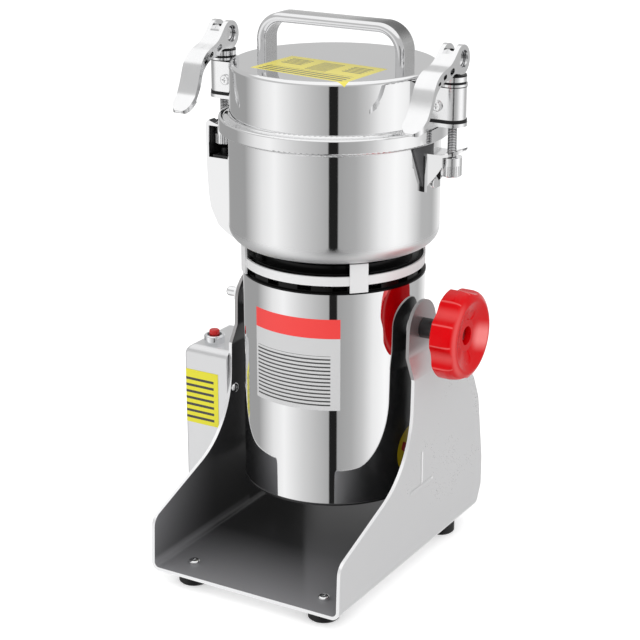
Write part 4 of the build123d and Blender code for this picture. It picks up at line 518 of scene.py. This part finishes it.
def brushed_steel(shade):
    """Stainless bar brushed along its length."""
    streak = noise(shade, place(shade, (0.06, 1.0, 1.0)), 2600.0)
    cloud = noise(shade, place(shade), 60.0, 2.0)
    values = two_tone(cloud, (0.86, 0.86, 0.862), (0.80, 0.80, 0.81), streak, (0.07, 0.06), METAL)
    return values, streak, 2 * MICRON


def cast_steel(shade):
    """Polished cast or turned steel with a slightly uneven skin."""
    cloud = noise(shade, place(shade), 160.0)
    fine = noise(shade, place(shade), 1800.0, 2.0)
    values = two_tone(cloud, (0.95, 0.95, 0.953), (0.88, 0.883, 0.89), fine, (0.12, 0.08), METAL)
    return values, cloud, 30 * MICRON


def ground_steel(shade):
    """Ground steel with short marks of the wheel, for blades and shafts."""
    streak = noise(shade, place(shade, (1.0, 0.15, 1.0)), 1800.0)
    values = two_tone(streak, (0.70, 0.70, 0.71), (0.56, 0.565, 0.58), streak, (0.20, 0.12), METAL)
    return values, streak, 10 * MICRON


def soft_rubber(shade):
    """Black moulded rubber with a fine matt skin."""
    fine = noise(shade, place(shade), 1500.0)
    cloud = noise(shade, place(shade), 70.0, 2.0)
    faint = {"Specular IOR Level": 0.30}
    values = two_tone(cloud, (0.005, 0.005, 0.0055), (0.010, 0.010, 0.0105), fine, (0.34, 0.16), faint)
    return values, fine, 40 * MICRON


def grey_rubber(shade):
    """Grey moulded rubber of the catch pad."""
    fine = noise(shade, place(shade), 1100.0)
    values = two_tone(fine, (0.06, 0.06, 0.063), (0.09, 0.09, 0.093), fine, (0.28, 0.10))
    return values, fine, 40 * MICRON


def silicone(shade):
    """Milky silicone of the lid's sealing ring."""
    cloud = noise(shade, place(shade), 120.0, 2.0)
    milky = {"Subsurface Weight": 0.15}
    values = two_tone(cloud, (0.72, 0.72, 0.70), (0.80, 0.80, 0.78), cloud, (0.38, 0.10), milky)
    return values, cloud, 20 * MICRON


def black_moulding(shade):
    """Black moulded plastic with a fine spark-eroded skin."""
    fine = noise(shade, place(shade), 1300.0, 4.0)
    cloud = noise(shade, place(shade), 50.0, 2.0)
    values = two_tone(cloud, (0.010, 0.010, 0.011), (0.018, 0.018, 0.019), fine, (0.30, 0.14))
    return values, fine, 30 * MICRON


def black_polish(shade):
    """Glossy black plastic of the rocker."""
    cloud = noise(shade, place(shade), 90.0, 2.0)
    values = two_tone(cloud, (0.008, 0.008, 0.009), (0.014, 0.014, 0.015), cloud, (0.10, 0.08))
    return values, cloud, 10 * MICRON


def chrome(shade):
    """Bright chrome plate."""
    cloud = noise(shade, place(shade), 200.0, 2.0)
    values = two_tone(cloud, (0.88, 0.89, 0.90), (0.84, 0.85, 0.87), cloud, (0.04, 0.05), METAL)
    return values, cloud, 10 * MICRON


def red_button(shade):
    """Glossy red plastic of the reset button."""
    cloud = noise(shade, place(shade), 250.0, 2.0)
    values = two_tone(cloud, (0.60, 0.012, 0.012), (0.52, 0.010, 0.010), cloud, (0.20, 0.10))
    return values, cloud, 10 * MICRON


def red_knob(shade):
    """Glossy red moulded plastic, with painted highlights on its dished face, its crest and its notch
    edges.
    """
    cloud = noise(shade, place(shade), 90.0, 2.0)
    fine = noise(shade, place(shade), 900.0)
    _, depth, rise = split(shade, place(shade))
    height = rise - KNOB_HEIGHT
    reach = shade.math("SQRT", depth * depth + height * height)
    along = DISH_HIGHLIGHT_BACK * depth - DISH_HIGHLIGHT_DOWN * height
    across = shade.math("ABSOLUTE", DISH_HIGHLIGHT_BACK * height + DISH_HIGHLIGHT_DOWN * depth)
    dish_highlight = along.step(*DISH_HIGHLIGHT_START) * (1.0 - across.step(*DISH_HIGHLIGHT_BESIDE)) * (1.0 - reach.step(*DISH_HIGHLIGHT_END))
    pitch = 360.0 / KNOB_NOTCHES
    turn = shade.math("ARCTAN2", 0.0 - depth, height) * (180.0 / math.pi)
    turn = turn + (360.0 + pitch / 2 - KNOB_NOTCH_START)
    off = shade.math("ABSOLUTE", shade.math("MODULO", turn, pitch) - pitch / 2)
    starts = [KNOB_NOTCH_HALF + before for before in RIDGE_BEFORE]
    ridge_highlight = off.band(*starts, KNOB_NOTCH_HALF, KNOB_NOTCH_HALF + RIDGE_AFTER) * reach.step(*RIDGE_REACH)
    crest = reach.band(*CREST_REACH) * (1.0 - depth.step(*CREST_BACK))
    plain = cloud.mix((0.70, 0.0, 0.003, 1.0), (0.63, 0.0, 0.002, 1.0))
    values = {
        # Painted highlights: pink light on the dish, the crest and the notch ridges.
        "Base Color": (0.80 * dish_highlight + 0.30 * crest + 0.34 * ridge_highlight).mix(plain, (1.0, 0.30, 0.29, 1.0)),
        "Roughness": 0.16 + 0.08 * fine,
        "Specular IOR Level": 0.36,
        "Specular Tint": (1.0, 0.30, 0.32, 1.0),
    }
    return values, cloud, 40 * MICRON


def printed(name, paper, bands):
    """A sticker's finish: its paper and, over it by UV, bands (low u, low v, high u, high v, ink, pitch).

    A band with a pitch is ruled: lines that pitch apart in v, each two fifths of it thick."""

    def build(shade):
        """The paper, then each band over it."""
        across, along, _ = split(shade, shade.node("TexCoord", out="UV"))
        cloud = noise(shade, place(shade), 60.0, 2.0)
        values = two_tone(cloud, paper, [0.96 * part for part in paper], cloud, (0.30, 0.08))
        for low_u, low_v, high_u, high_v, ink, pitch in bands:
            inside = (across > low_u) * (across < high_u) * (along > low_v) * (along < high_v)
            if pitch:
                line = shade.math("FRACT", (along - low_v) / pitch)
                inside = inside * (line < RULED_SHARE)
            values["Base Color"] = inside.mix(values["Base Color"], (*ink, 1.0))
        return values, cloud, 10 * MICRON

    return finish(name, build)


def sand_cast_aluminium(shade):
    """Die-cast aluminium of the end bells."""
    cloud = noise(shade, place(shade), 400.0, 4.0)
    values = two_tone(cloud, (0.62, 0.62, 0.63), (0.50, 0.50, 0.51), cloud, (0.38, 0.16), METAL)
    return values, cloud, 80 * MICRON


def stacked_iron(shade):
    """Laminated motor iron: fine level sheets under a thin varnish."""
    _, _, height = split(shade, place(shade))
    cloud = noise(shade, place(shade), 150.0)
    values = two_tone(cloud, (0.16, 0.15, 0.14), (0.24, 0.23, 0.22), cloud, (0.40, 0.15), {"Metallic": 0.8})
    return values, waves(shade, height, LAMINATION_PITCH), 40 * MICRON


def wound_copper(shade):
    """Varnished copper windings, wire beside wire."""
    _, _, height = split(shade, place(shade))
    cloud = noise(shade, place(shade), 120.0)
    values = two_tone(cloud, (0.55, 0.20, 0.07), (0.42, 0.13, 0.04), cloud, (0.26, 0.12), {"Metallic": 0.9})
    return values, waves(shade, height, WINDING_PITCH), 100 * MICRON


def turned_copper(shade):
    """Turned copper of the commutator."""
    cloud = noise(shade, place(shade, (1.0, 1.0, 8.0)), 300.0)
    values = two_tone(cloud, (0.80, 0.36, 0.18), (0.62, 0.25, 0.11), cloud, (0.22, 0.12), METAL)
    return values, cloud, 10 * MICRON


def brass(shade):
    """Drawn brass of the brush holders."""
    cloud = noise(shade, place(shade), 260.0)
    values = two_tone(cloud, (0.78, 0.56, 0.22), (0.66, 0.45, 0.16), cloud, (0.22, 0.14), METAL)
    return values, cloud, 10 * MICRON


def carbon(shade):
    """Pressed carbon of the brushes."""
    cloud = noise(shade, place(shade), 900.0, 4.0)
    values = two_tone(cloud, (0.03, 0.03, 0.032), (0.06, 0.06, 0.062), cloud, (0.55, 0.2))
    return values, cloud, 40 * MICRON


FINISHES = {
    "stand_paint": cheek_outside,
    "box_paint": satin_sheet,
    "foot_rubber": soft_rubber,
    "gland_rubber": soft_rubber,
    "seal_rubber": soft_rubber,
    "screw_steel": cast_steel,
    "clamp_steel": cast_steel,
    "rod_steel": threaded_steel,
    "lever_steel": cast_steel,
    "catch_steel": polished_steel,
    "cover_steel": polished_steel,
    "polished_steel": bowl_steel,
    "handle_steel": brushed_steel,
    "black_plastic": black_moulding,
    "vent_black": vent_plastic,
    "black_gloss": black_polish,
    "collar_chrome": chrome,
    "button_red": red_button,
    "knob_red": red_knob,
    "gasket_silicone": silicone,
    "bell_aluminium": sand_cast_aluminium,
    "core_steel": stacked_iron,
    "winding_copper": wound_copper,
    "commutator_copper": turned_copper,
    "brush_brass": brass,
    "brush_carbon": carbon,
    "shaft_steel": ground_steel,
    "blade_steel": ground_steel,
}


def dress_nodes():
    """Gives every CAD node the finish of its slot, and returns the finishes by slot."""
    made = {slot: finish(slot, build) for slot, build in FINISHES.items()}
    for part in frame["record"]["subparts"]:
        slot = part["material_slot"]
        node = frame["nodes"][part["node"]]
        node.data.materials.clear()
        node.data.materials.append(made[slot])
    # Painted shade: the faces that look into the stand take a darker copy of the sheet.
    second_finish("stand", finish("stand_inside", shaded_sheet), stand_inside)
    # Painted shade: the sheet's edges round the ears are darkened like the ears.
    second_finish("stand", finish("ear_edge", shaded_ear_edge), ear_edge)
    # Painted shade: the faces inside the interlock housing turn near black.
    second_finish("lock_housing", finish("lock_inside", shadow_black), lock_inside)
    second_finish("vent_ring", finish("ring_lustre", ring_steel), everywhere)
    for side in ("right", "left"):
        second_finish(f"{side}_clamp_nut", made["clamp_steel"], everywhere)
    return made


def second_finish(name, made, chosen):
    """Gives a node's faces a second finish where chosen(middles in mm, normals) holds."""
    mesh = frame["nodes"][name].data
    count = len(mesh.polygons)
    middles = np.empty(3 * count)
    normals = np.empty(3 * count)
    mesh.polygons.foreach_get("center", middles)
    mesh.polygons.foreach_get("normal", normals)
    mesh.materials.append(made)
    picked = chosen(middles.reshape(-1, 3) / MM, normals.reshape(-1, 3))
    index = np.empty(count, np.int32)
    mesh.polygons.foreach_get("material_index", index)
    index[picked] = len(mesh.materials) - 1
    mesh.polygons.foreach_set("material_index", index)
    mesh.update()


def everywhere(middles, normals):
    """Every face."""
    return np.ones(len(middles), bool)


def stand_inside(middles, normals):
    """The faces of the cheeks and the floor that look into the stand."""
    inward = normals[:, 0] * np.sign(middles[:, 0]) < -LEAN
    floor = (normals[:, 2] > LEAN) & (middles[:, 2] < FLOOR_FACES_BELOW)
    return inward | (floor & (np.abs(middles[:, 0]) < FLOOR_FACES_HALF))


def ear_edge(middles, normals):
    """The narrow edges of the stand's sheet round its two ears."""
    return (np.abs(normals[:, 0]) < LEAN) & (middles[:, 2] > EAR_EDGE_FROM)


def lock_inside(middles, normals):
    """The faces inside the interlock housing's sheet: those that look at its middle line."""
    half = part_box("lock_housing")[1].y / MM
    within = np.abs(middles[:, 1]) < half - LOCK_WALL
    across = normals[:, 1] * middles[:, 1] < 0.0
    return (within & (across | (normals[:, 0] > LOCK_LEAN))) | (normals[:, 2] < -LOCK_LEAN)


# ---------------------------------------------------------------- formed surfaces


def skin(name, points, made, body, node=None, closed=False, flip=False):
    """A surface over a grid of points (rows, columns, xyz) in mm, which rides a body.

    closed joins the last column to the first and closes the first and last row with a fan; flip turns the
    faces over. With a node named, the surface stands for it. Its UV runs over columns and rows."""
    rows, columns, _ = points.shape
    row = np.arange(rows - 1)[:, None] * columns
    column = np.arange(columns if closed else columns - 1)[None, :]
    beside = (column + 1) % columns
    corners = [row + column, row + beside, row + columns + beside, row + columns + column]
    faces = np.stack(np.broadcast_arrays(*corners), -1).reshape(-1, 4)
    faces = faces[:, ::-1].tolist() if flip else faces.tolist()
    spots = points.reshape(-1, 3)
    if closed:
        for first, way in ((0, -1), ((rows - 1) * columns, 1)):
            ring = first + np.arange(columns)
            fan = np.stack([ring, np.roll(ring, -1), np.full(columns, len(spots))], -1)
            faces += fan[:, ::way].tolist()
            spots = np.vstack([spots, spots[ring].mean(0)])
    mesh = bpy.data.meshes.new(name)
    mesh.from_pydata((spots * MM).tolist(), [], faces)
    grid_uv(mesh, rows, columns)
    mesh.shade_smooth()
    mesh.set_sharp_from_angle(angle=SHARP_ANGLE)
    mesh.materials.append(made)
    piece = bpy.data.objects.new(name, mesh)
    bpy.context.scene.collection.objects.link(piece)
    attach(piece, body)
    if node:
        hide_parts(node)
    return piece


def grid_uv(mesh, rows, columns):
    """UV from the place of each vertex in its grid."""
    spots = np.empty(len(mesh.loops), np.int32)
    mesh.loops.foreach_get("vertex_index", spots)
    spots = np.minimum(spots, rows * columns - 1)
    pairs = np.stack([spots % columns / (columns - 1), spots // columns / (rows - 1)], -1)
    mesh.uv_layers.new(name="UVMap").data.foreach_set("uv", pairs.astype(np.float32).ravel())


def rounded_line(corners, step, arc=8):
    """Points along a line through (u, v, radius) corners: rounded there, and no further apart than step."""
    spots = [np.array(corners[0][:2], float)]
    for before, (u, v, radius), after in zip(corners, corners[1:], corners[2:]):
        here = np.array((u, v), float)
        back = np.array(before[:2], float) - here
        on = np.array(after[:2], float) - here
        back /= np.linalg.norm(back)
        on /= np.linalg.norm(on)
        half = math.acos(float(np.clip(back @ on, -1.0, 1.0))) / 2
        if radius <= 0.0 or half > NEARLY_STRAIGHT:
            spots.append(here)
            continue
        middle = here + (back + on) / np.linalg.norm(back + on) * radius / math.sin(half)
        start = here + back * radius / math.tan(half) - middle
        end = here + on * radius / math.tan(half) - middle
        for share in np.linspace(0.0, 1.0, arc):
            turned = start * (1.0 - share) + end * share
            spots.append(middle + turned / np.linalg.norm(turned) * radius)
    spots.append(np.array(corners[-1][:2], float))
    spots = np.array(spots)
    gaps = np.linalg.norm(np.diff(spots, axis=0), axis=1)
    length = np.concatenate([[0.0], np.cumsum(gaps)])
    even = np.arange(0.0, length[-1], step)
    marks = np.unique(np.round(np.concatenate([length, even]), 4))
    return np.stack([np.interp(marks, length, spots[:, i]) for i in (0, 1)], -1)


def smaller(a, b, blend):
    """The smaller of two values, rounded where they meet."""
    return 0.5 * (a + b - np.sqrt((a - b) ** 2 + blend ** 2))


def lock_knob(made):
    """The knob: its profile turned about the pivot, less six finger notches and two pockets by the hub.

    A notch is the chord of its arc less a shallow curve; the radius is the smaller of profile and notch.
    A pocket is a round hollow in turn and radius, with a sloping shore."""
    low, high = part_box("lock_knob")
    back = low.x / MM
    height = (low.z + high.z) / 2 / MM
    line = rounded_line(KNOB_PROFILE, KNOB_STEP)
    turn = np.linspace(0.0, 2.0 * math.pi, KNOB_COLUMNS, endpoint=False)[None, :]
    radius = line[:, :1]
    out = line[:, 1:] + 0.0 * turn
    pitch = 2.0 * math.pi / KNOB_NOTCHES
    off = np.mod(turn - math.radians(KNOB_NOTCH_START) + pitch / 2, pitch) - pitch / 2
    half = math.radians(KNOB_NOTCH_HALF)
    chord = KNOB_NOTCH_RIM * math.cos(half) / np.cos(off)
    notch = chord - KNOB_NOTCH_HOLLOW * (1.0 - (off / half) ** 2)
    wide = smaller(radius, notch, KNOB_NOTCH_BLEND)
    wide = np.where(radius > KNOB_NOTCHED_FROM, wide, radius + 0.0 * turn)
    for centre, reach in KNOB_POCKETS:
        angle = np.angle(np.exp(1j * (turn - math.radians(centre))))
        sideways = angle / math.radians(POCKET_HALF_TURN)
        outwards = (radius - POCKET_MIDDLE) / (reach - POCKET_INNER)
        pocket = np.clip((1.0 - (sideways ** 2 + outwards ** 2)) / POCKET_SHORE, 0.0, 1.0)
        out = out - POCKET_DEPTH * pocket * (radius > HUB_RADIUS) * (line[:, 1:] > FACE_FROM)
    points = np.stack([back + out, -wide * np.sin(turn), height + wide * np.cos(turn)], -1)
    piece = skin("knob_moulding", points, made, "knob", "lock_knob", closed=True)


def lid_handle(made, top):
    """The lid's handle: two half rounds joined by flats, carried up, over and down along a path."""
    low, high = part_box("lid_handle")
    span = high.x / MM - HANDLE_HALF_THICKNESS
    foot = low.z / MM
    crown = high.z / MM - HANDLE_HALF_THICKNESS
    bend = HANDLE_BEND
    corners = [(-span, foot, 0), (-span, crown, bend), (span, crown, bend), (span, foot, 0)]
    path = rounded_line(corners, HANDLE_STEP, HANDLE_ARC)
    way = np.gradient(path, axis=0)
    way /= np.linalg.norm(way, axis=1)[:, None]
    outward = np.stack([-way[:, 1], way[:, 0]], -1)
    turn = np.linspace(0.0, 2.0 * math.pi, HANDLE_COLUMNS, endpoint=False)
    flat = high.y / MM - HANDLE_HALF_THICKNESS
    across = HANDLE_HALF_THICKNESS * np.cos(turn) + flat * np.sign(np.cos(turn))
    proud = HANDLE_HALF_THICKNESS * np.sin(turn)
    x = path[:, :1] + outward[:, :1] * proud
    z = path[:, 1:] + outward[:, 1:] * proud
    y = across[None, :] + 0.0 * x
    points = np.stack([x, y, z], -1)
    piece = skin("handle_bar", points, made, "head", "lid_handle", closed=True)
    mesh = piece.data
    mesh.materials.append(top)
    middles = np.empty(3 * len(mesh.polygons))
    mesh.polygons.foreach_get("center", middles)
    flat_faces = np.abs(middles.reshape(-1, 3)[:, 1]) / MM < flat + HANDLE_FLAT_PAST
    mesh.polygons.foreach_set("material_index", flat_faces.astype(np.int32))


def slab(line, section):
    """A closed outline and a section's rows (depth, share) as (depth, points) pairs.

    Each row is the outline drawn in towards its middle to that share."""
    centre = line.mean(0)
    return [(depth, centre + (line - centre) * share) for depth, share in section]


def lock_shade_plate(made):
    """A dark plate of painted shade behind the interlock housing's opening: a rounded outline, drawn in row
    by row.
    """
    low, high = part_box("lock_housing")
    half = high.y / MM - SHADE_PLATE_GAP
    bottom, top = SHADE_PLATE_HEIGHTS
    corners = [(half, bottom), (half, top), (-half, top), (-half, bottom)]
    middle = (0.0, bottom, 0.0)
    line = rounded_line([middle] + [(u, v, SHADE_PLATE_CORNER) for u, v in corners] + [middle], SHADE_PLATE_STEP)[:-1]
    outside = low.x / MM + SHADE_PLATE_INSIDE
    rows = slab(line, SHADE_PLATE_SECTION)
    points = [np.insert(spot, 0, outside + depth, axis=1) for depth, spot in rows]
    skin("lock_shade_plate", np.array(points), made, "head", closed=True)


def catch_flap(made):
    """The catch pad's free edge: a thin three-sided flap on the bowl's wall, in front of the bracket.

    Its outline runs by angle round the bowl and by height; each row is that outline at one radius."""
    first, second = FLAP_OUTLINE[:2]
    middle = ((first[0] + second[0]) / 2, first[1], 0.0)
    line = rounded_line([middle] + FLAP_OUTLINE[1:] + [first, middle], FLAP_STEP)[:-1]
    points = []
    for proud, spot in slab(line, FLAP_SECTION):
        turn = spot[:, 0] / BOWL_RADIUS
        radius = BOWL_RADIUS + proud
        points.append(np.stack([radius * np.cos(turn), -radius * np.sin(turn), spot[:, 1]], -1))
    skin("catch_flap", np.array(points), made, "head", closed=True)


def housing_sticker(made):
    """The sticker on the motor housing: by angle from the front and by height, at the tube's radius.

    Polished steel doesn't mirror it."""
    columns, rows = HOUSING_STICKER_GRID
    turn = np.radians(np.linspace(*HOUSING_STICKER_TURNS, columns))[None, :]
    height = np.linspace(*HOUSING_STICKER_HEIGHTS, rows)[:, None]
    radius = HOUSING_RADIUS + STICKER_PROUD
    x = radius * np.sin(turn) + 0.0 * height
    y = -radius * np.cos(turn) + 0.0 * height
    points = np.stack([x, y, height + 0.0 * turn], -1)
    skin("housing_sticker", points, made, "head").visible_glossy = False


def lid_sticker(made):
    """The sticker on the lid: its four corners blended over a grid, rolled down past the lid's flat.

    Polished steel doesn't mirror it."""
    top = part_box("lid")[1].z / MM + STICKER_PROUD
    flat = LID_FLAT_RADIUS
    columns, rows = LID_STICKER_GRID
    u = np.linspace(0.0, 1.0, columns)[None, :, None]
    v = np.linspace(0.0, 1.0, rows)[:, None, None]
    front_left, back_left, back_right, front_right = [np.array(c) for c in LID_STICKER]
    front = front_left * (1 - u) + front_right * u
    back = back_left * (1 - u) + back_right * u
    spots = front * (1 - v) + back * v
    reach = np.linalg.norm(spots, axis=-1)
    past = np.clip(reach - flat, 0.0, LID_EDGE * math.pi / 2) / LID_EDGE
    radius = np.where(reach > flat, flat + (LID_EDGE + STICKER_PROUD) * np.sin(past), reach)
    height = top - (LID_EDGE + STICKER_PROUD) * (1.0 - np.cos(past))
    drawn_in = spots * (radius / reach)[..., None]
    points = np.concatenate([drawn_in, height[..., None]], -1)
    skin("lid_sticker", points, made, "head").visible_glossy = False


def round_sticker(made):
    """The round sticker inside the right cheek: a square grid drawn out to a disc, then turned."""
    columns, rows = ROUND_STICKER_GRID
    u = np.linspace(-1.0, 1.0, columns)[None, :]
    v = np.linspace(-1.0, 1.0, rows)[:, None]
    along = ROUND_STICKER_RADIUS * u * np.sqrt(1.0 - v ** 2 / 2)
    across = ROUND_STICKER_RADIUS * v * np.sqrt(1.0 - u ** 2 / 2)
    slant = math.radians(ROUND_STICKER_SLANT)
    y = ROUND_STICKER[1] + along * math.cos(slant) + across * math.sin(slant)
    z = ROUND_STICKER[2] - along * math.sin(slant) + across * math.cos(slant)
    x = ROUND_STICKER[0] - STICKER_PROUD + 0.0 * y
    skin("round_sticker", np.stack([x, y, z], -1), made, "base", flip=True)


def box_sticker(made):
    """The sticker on the control box: a rounded line from side to front, raised from low to high."""
    low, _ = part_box("control_box_cover")
    front = low.y / MM - STICKER_PROUD
    side = low.x / MM - STICKER_PROUD
    corners = [(side, front + BOX_STICKER_SIDE, 0), (side, front, BOX_EDGE + STICKER_PROUD)]
    line = rounded_line(corners + [(side + BOX_STICKER_FRONT, front, 0)], BOX_STICKER_STEP)
    height = np.linspace(*BOX_STICKER_HEIGHTS, BOX_STICKER_ROWS)[:, None]
    x = line[None, :, 0] + 0.0 * height
    y = line[None, :, 1] + 0.0 * height
    skin("box_sticker", np.stack([x, y, height + 0.0 * x], -1), made, "base")


# ---------------------------------------------------------------- stage


# Soft boxes round the object: degrees from the camera towards its right, and their brightness.
SOFT_BOXES = [
    (-180.0, 0.95),
    (-156.0, 0.36),
    (-112.0, 0.37),
    (-84.0, 0.88),
    (-67.0, 1.02),
    (-40.0, 0.71),
    (-24.0, 0.57),
    (-6.8, 0.44),
    (-6.2, 0.016),
    (3.6, 0.016),
    (4.2, 0.38),
    (22.0, 0.45),
    (36.0, 0.63),
    (50.0, 0.93),
    (68.0, 1.08),
    (84.0, 0.98),
    (108.0, 0.51),
    (131.0, 0.48),
    (154.0, 0.86),
    (180.0, 0.95),
]

# Degrees above the level: where the ring gives way to the upper light, that light grows, and the even one.
RING_LIFT = (4.0, 11.0)
CEILING_LIFT = (34.0, 44.0)
EVEN_LIFT = (-30.0, 60.0)


def studio_world():
    """White to the camera, an even studio to matt surfaces, and a ring of soft boxes to mirrors."""
    world = bpy.data.worlds.new("studio")
    world.use_nodes = True
    tree = world.node_tree
    tree.nodes.clear()
    output = tree.nodes.new("ShaderNodeOutputWorld")
    shade = Shade(tree)
    way = shade.node("TexCoord", out="Generated")
    about = {"Vector": way, "Angle": -CAMERA_AZIMUTH}
    side, back, rise = split(shade, shade.node("VectorRotate", {"rotation_type": "Z_AXIS"}, about))
    turn = shade.math("ARCTAN2", side, 0.0 - back) * (180.0 / math.pi)
    stops = [(angle / 360.0 + 0.5, value) for angle, value in SOFT_BOXES]
    ring = shade.node("ValToRGB", {"stops": stops}, {"Fac": turn / 360.0 + 0.5})
    lift = shade.math("ARCSINE", rise) * (180.0 / math.pi)
    upper = lift.step(*CEILING_LIFT).mix(grey(0.58), grey(1.05))
    mirrored = lift.step(*RING_LIFT).mix(ring, upper)
    even = lift.step(*EVEN_LIFT).mix(grey(0.62), grey(0.95))
    seen = shade.node("LightPath", out="Is Glossy Ray").mix(even, mirrored)
    seen = shade.node("LightPath", out="Is Camera Ray").mix(seen, grey(1.0))
    sky = shade.node("Background", None, {"Color": seen, "Strength": 1.0})
    tree.links.new(sky.socket, output.inputs["Surface"])
    bpy.context.scene.world = world


def lay_floor():
    """A plain white floor that keeps the object's soft shadow."""
    mesh = bpy.data.meshes.new("floor")
    corners = [(-1, -1), (1, -1), (1, 1), (-1, 1)]
    mesh.from_pydata([(FLOOR_HALF * x, FLOOR_HALF * y, 0.0) for x, y in corners], [], [(0, 1, 2, 3)])
    floor = bpy.data.objects.new("floor", mesh)
    bpy.context.scene.collection.objects.link(floor)
    made, shade, output = new_material("floor_white")
    matt = shade.node("BsdfDiffuse", None, {"Color": grey(0.80)})
    glow = shade.node("Emission", None, {"Color": grey(1.0), "Strength": 0.42})
    both = shade.node("AddShader", None, {0: matt, 1: glow})
    seen = shade.node("LightPath", out="Is Camera Ray")
    mixed = shade.node("MixShader", None, {0: seen, 1: matt, 2: both})
    shade.tree.links.new(mixed.socket, output.inputs["Surface"])
    mesh.materials.append(made)
    floor.visible_glossy = False


def add_lamp(name, spot, size, power):
    """A square soft lamp at spot that faces the mill's middle."""
    lamp = bpy.data.lights.new(name, "AREA")
    lamp.size = size
    lamp.energy = power
    made = bpy.data.objects.new(name, lamp)
    made.location = spot
    made.rotation_euler = (Vector(LAMP_AIM) - Vector(spot)).to_track_quat("-Z", "Y").to_euler()
    made.visible_glossy = False
    bpy.context.scene.collection.objects.link(made)


def set_camera():
    """The camera, looking down on the mill's right front corner."""
    data = bpy.data.cameras.new("camera")
    data.lens = CAMERA_LENS
    data.sensor_width = CAMERA_SENSOR
    camera = bpy.data.objects.new("camera", data)
    camera.location = CAMERA_PLACE
    flat = math.cos(CAMERA_PITCH)
    away = Vector((
        -flat * math.sin(CAMERA_AZIMUTH),
        flat * math.cos(CAMERA_AZIMUTH),
        -math.sin(CAMERA_PITCH),
    ))
    camera.rotation_euler = away.to_track_quat("-Z", "Y").to_euler()
    bpy.context.scene.collection.objects.link(camera)
    bpy.context.scene.camera = camera


def add_stickers():
    """Plain stickers with ruled lines where the mill carries its labels."""
    dark = (0.05, 0.05, 0.05)
    silver = (0.62, 0.62, 0.625)
    red = (0.86, 0.05, 0.045)
    deep_red = (0.40, 0.004, 0.004)
    pale_yellow = (0.80, 0.70, 0.11)
    yellow = (0.80, 0.74, 0.03)
    amber = (0.62, 0.46, 0.01)
    plate = [(0.03, 0.05, 0.90, 0.60, dark, 0.042), (0.0, 0.79, 1.0, 1.0, red, 0.0)]
    housing_sticker(printed("plate_print", silver, plate))
    boxes = [(0.08, 0.55, 0.30, 0.90, dark, 0.07), (0.40, 0.40, 0.62, 0.90, dark, 0.05)]
    boxes += [(0.72, 0.55, 0.92, 0.90, dark, 0.07), (0.06, 0.06, 0.94, 0.34, dark, 0.09)]
    lid_sticker(printed("lid_print", pale_yellow, boxes))
    box_sticker(printed("box_print", yellow, [(0.1, 0.08, 0.9, 0.9, dark, 0.12)]))
    round_sticker(printed("round_print", amber, [(0.15, 0.40, 0.85, 0.60, deep_red, 0.0)]))


def build():
    """Dresses the frame, adds the formed pieces and sets the stage."""
    finishes = dress_nodes()
    lock_knob(finishes["knob_red"])
    lid_handle(finishes["handle_steel"], finish("handle_flat", handle_top))
    catch_flap(finish("pad_rubber", grey_rubber))
    # Painted shade: a near black plate fills the interlock housing's opening.
    lock_shade_plate(finish("shade_plate_black", shadow_black))
    add_stickers()
    studio_world()
    lay_floor()
    for lamp in LAMPS:
        add_lamp(*lamp)
    set_camera()
    bpy.context.scene.view_settings.view_transform = "Standard"


build()
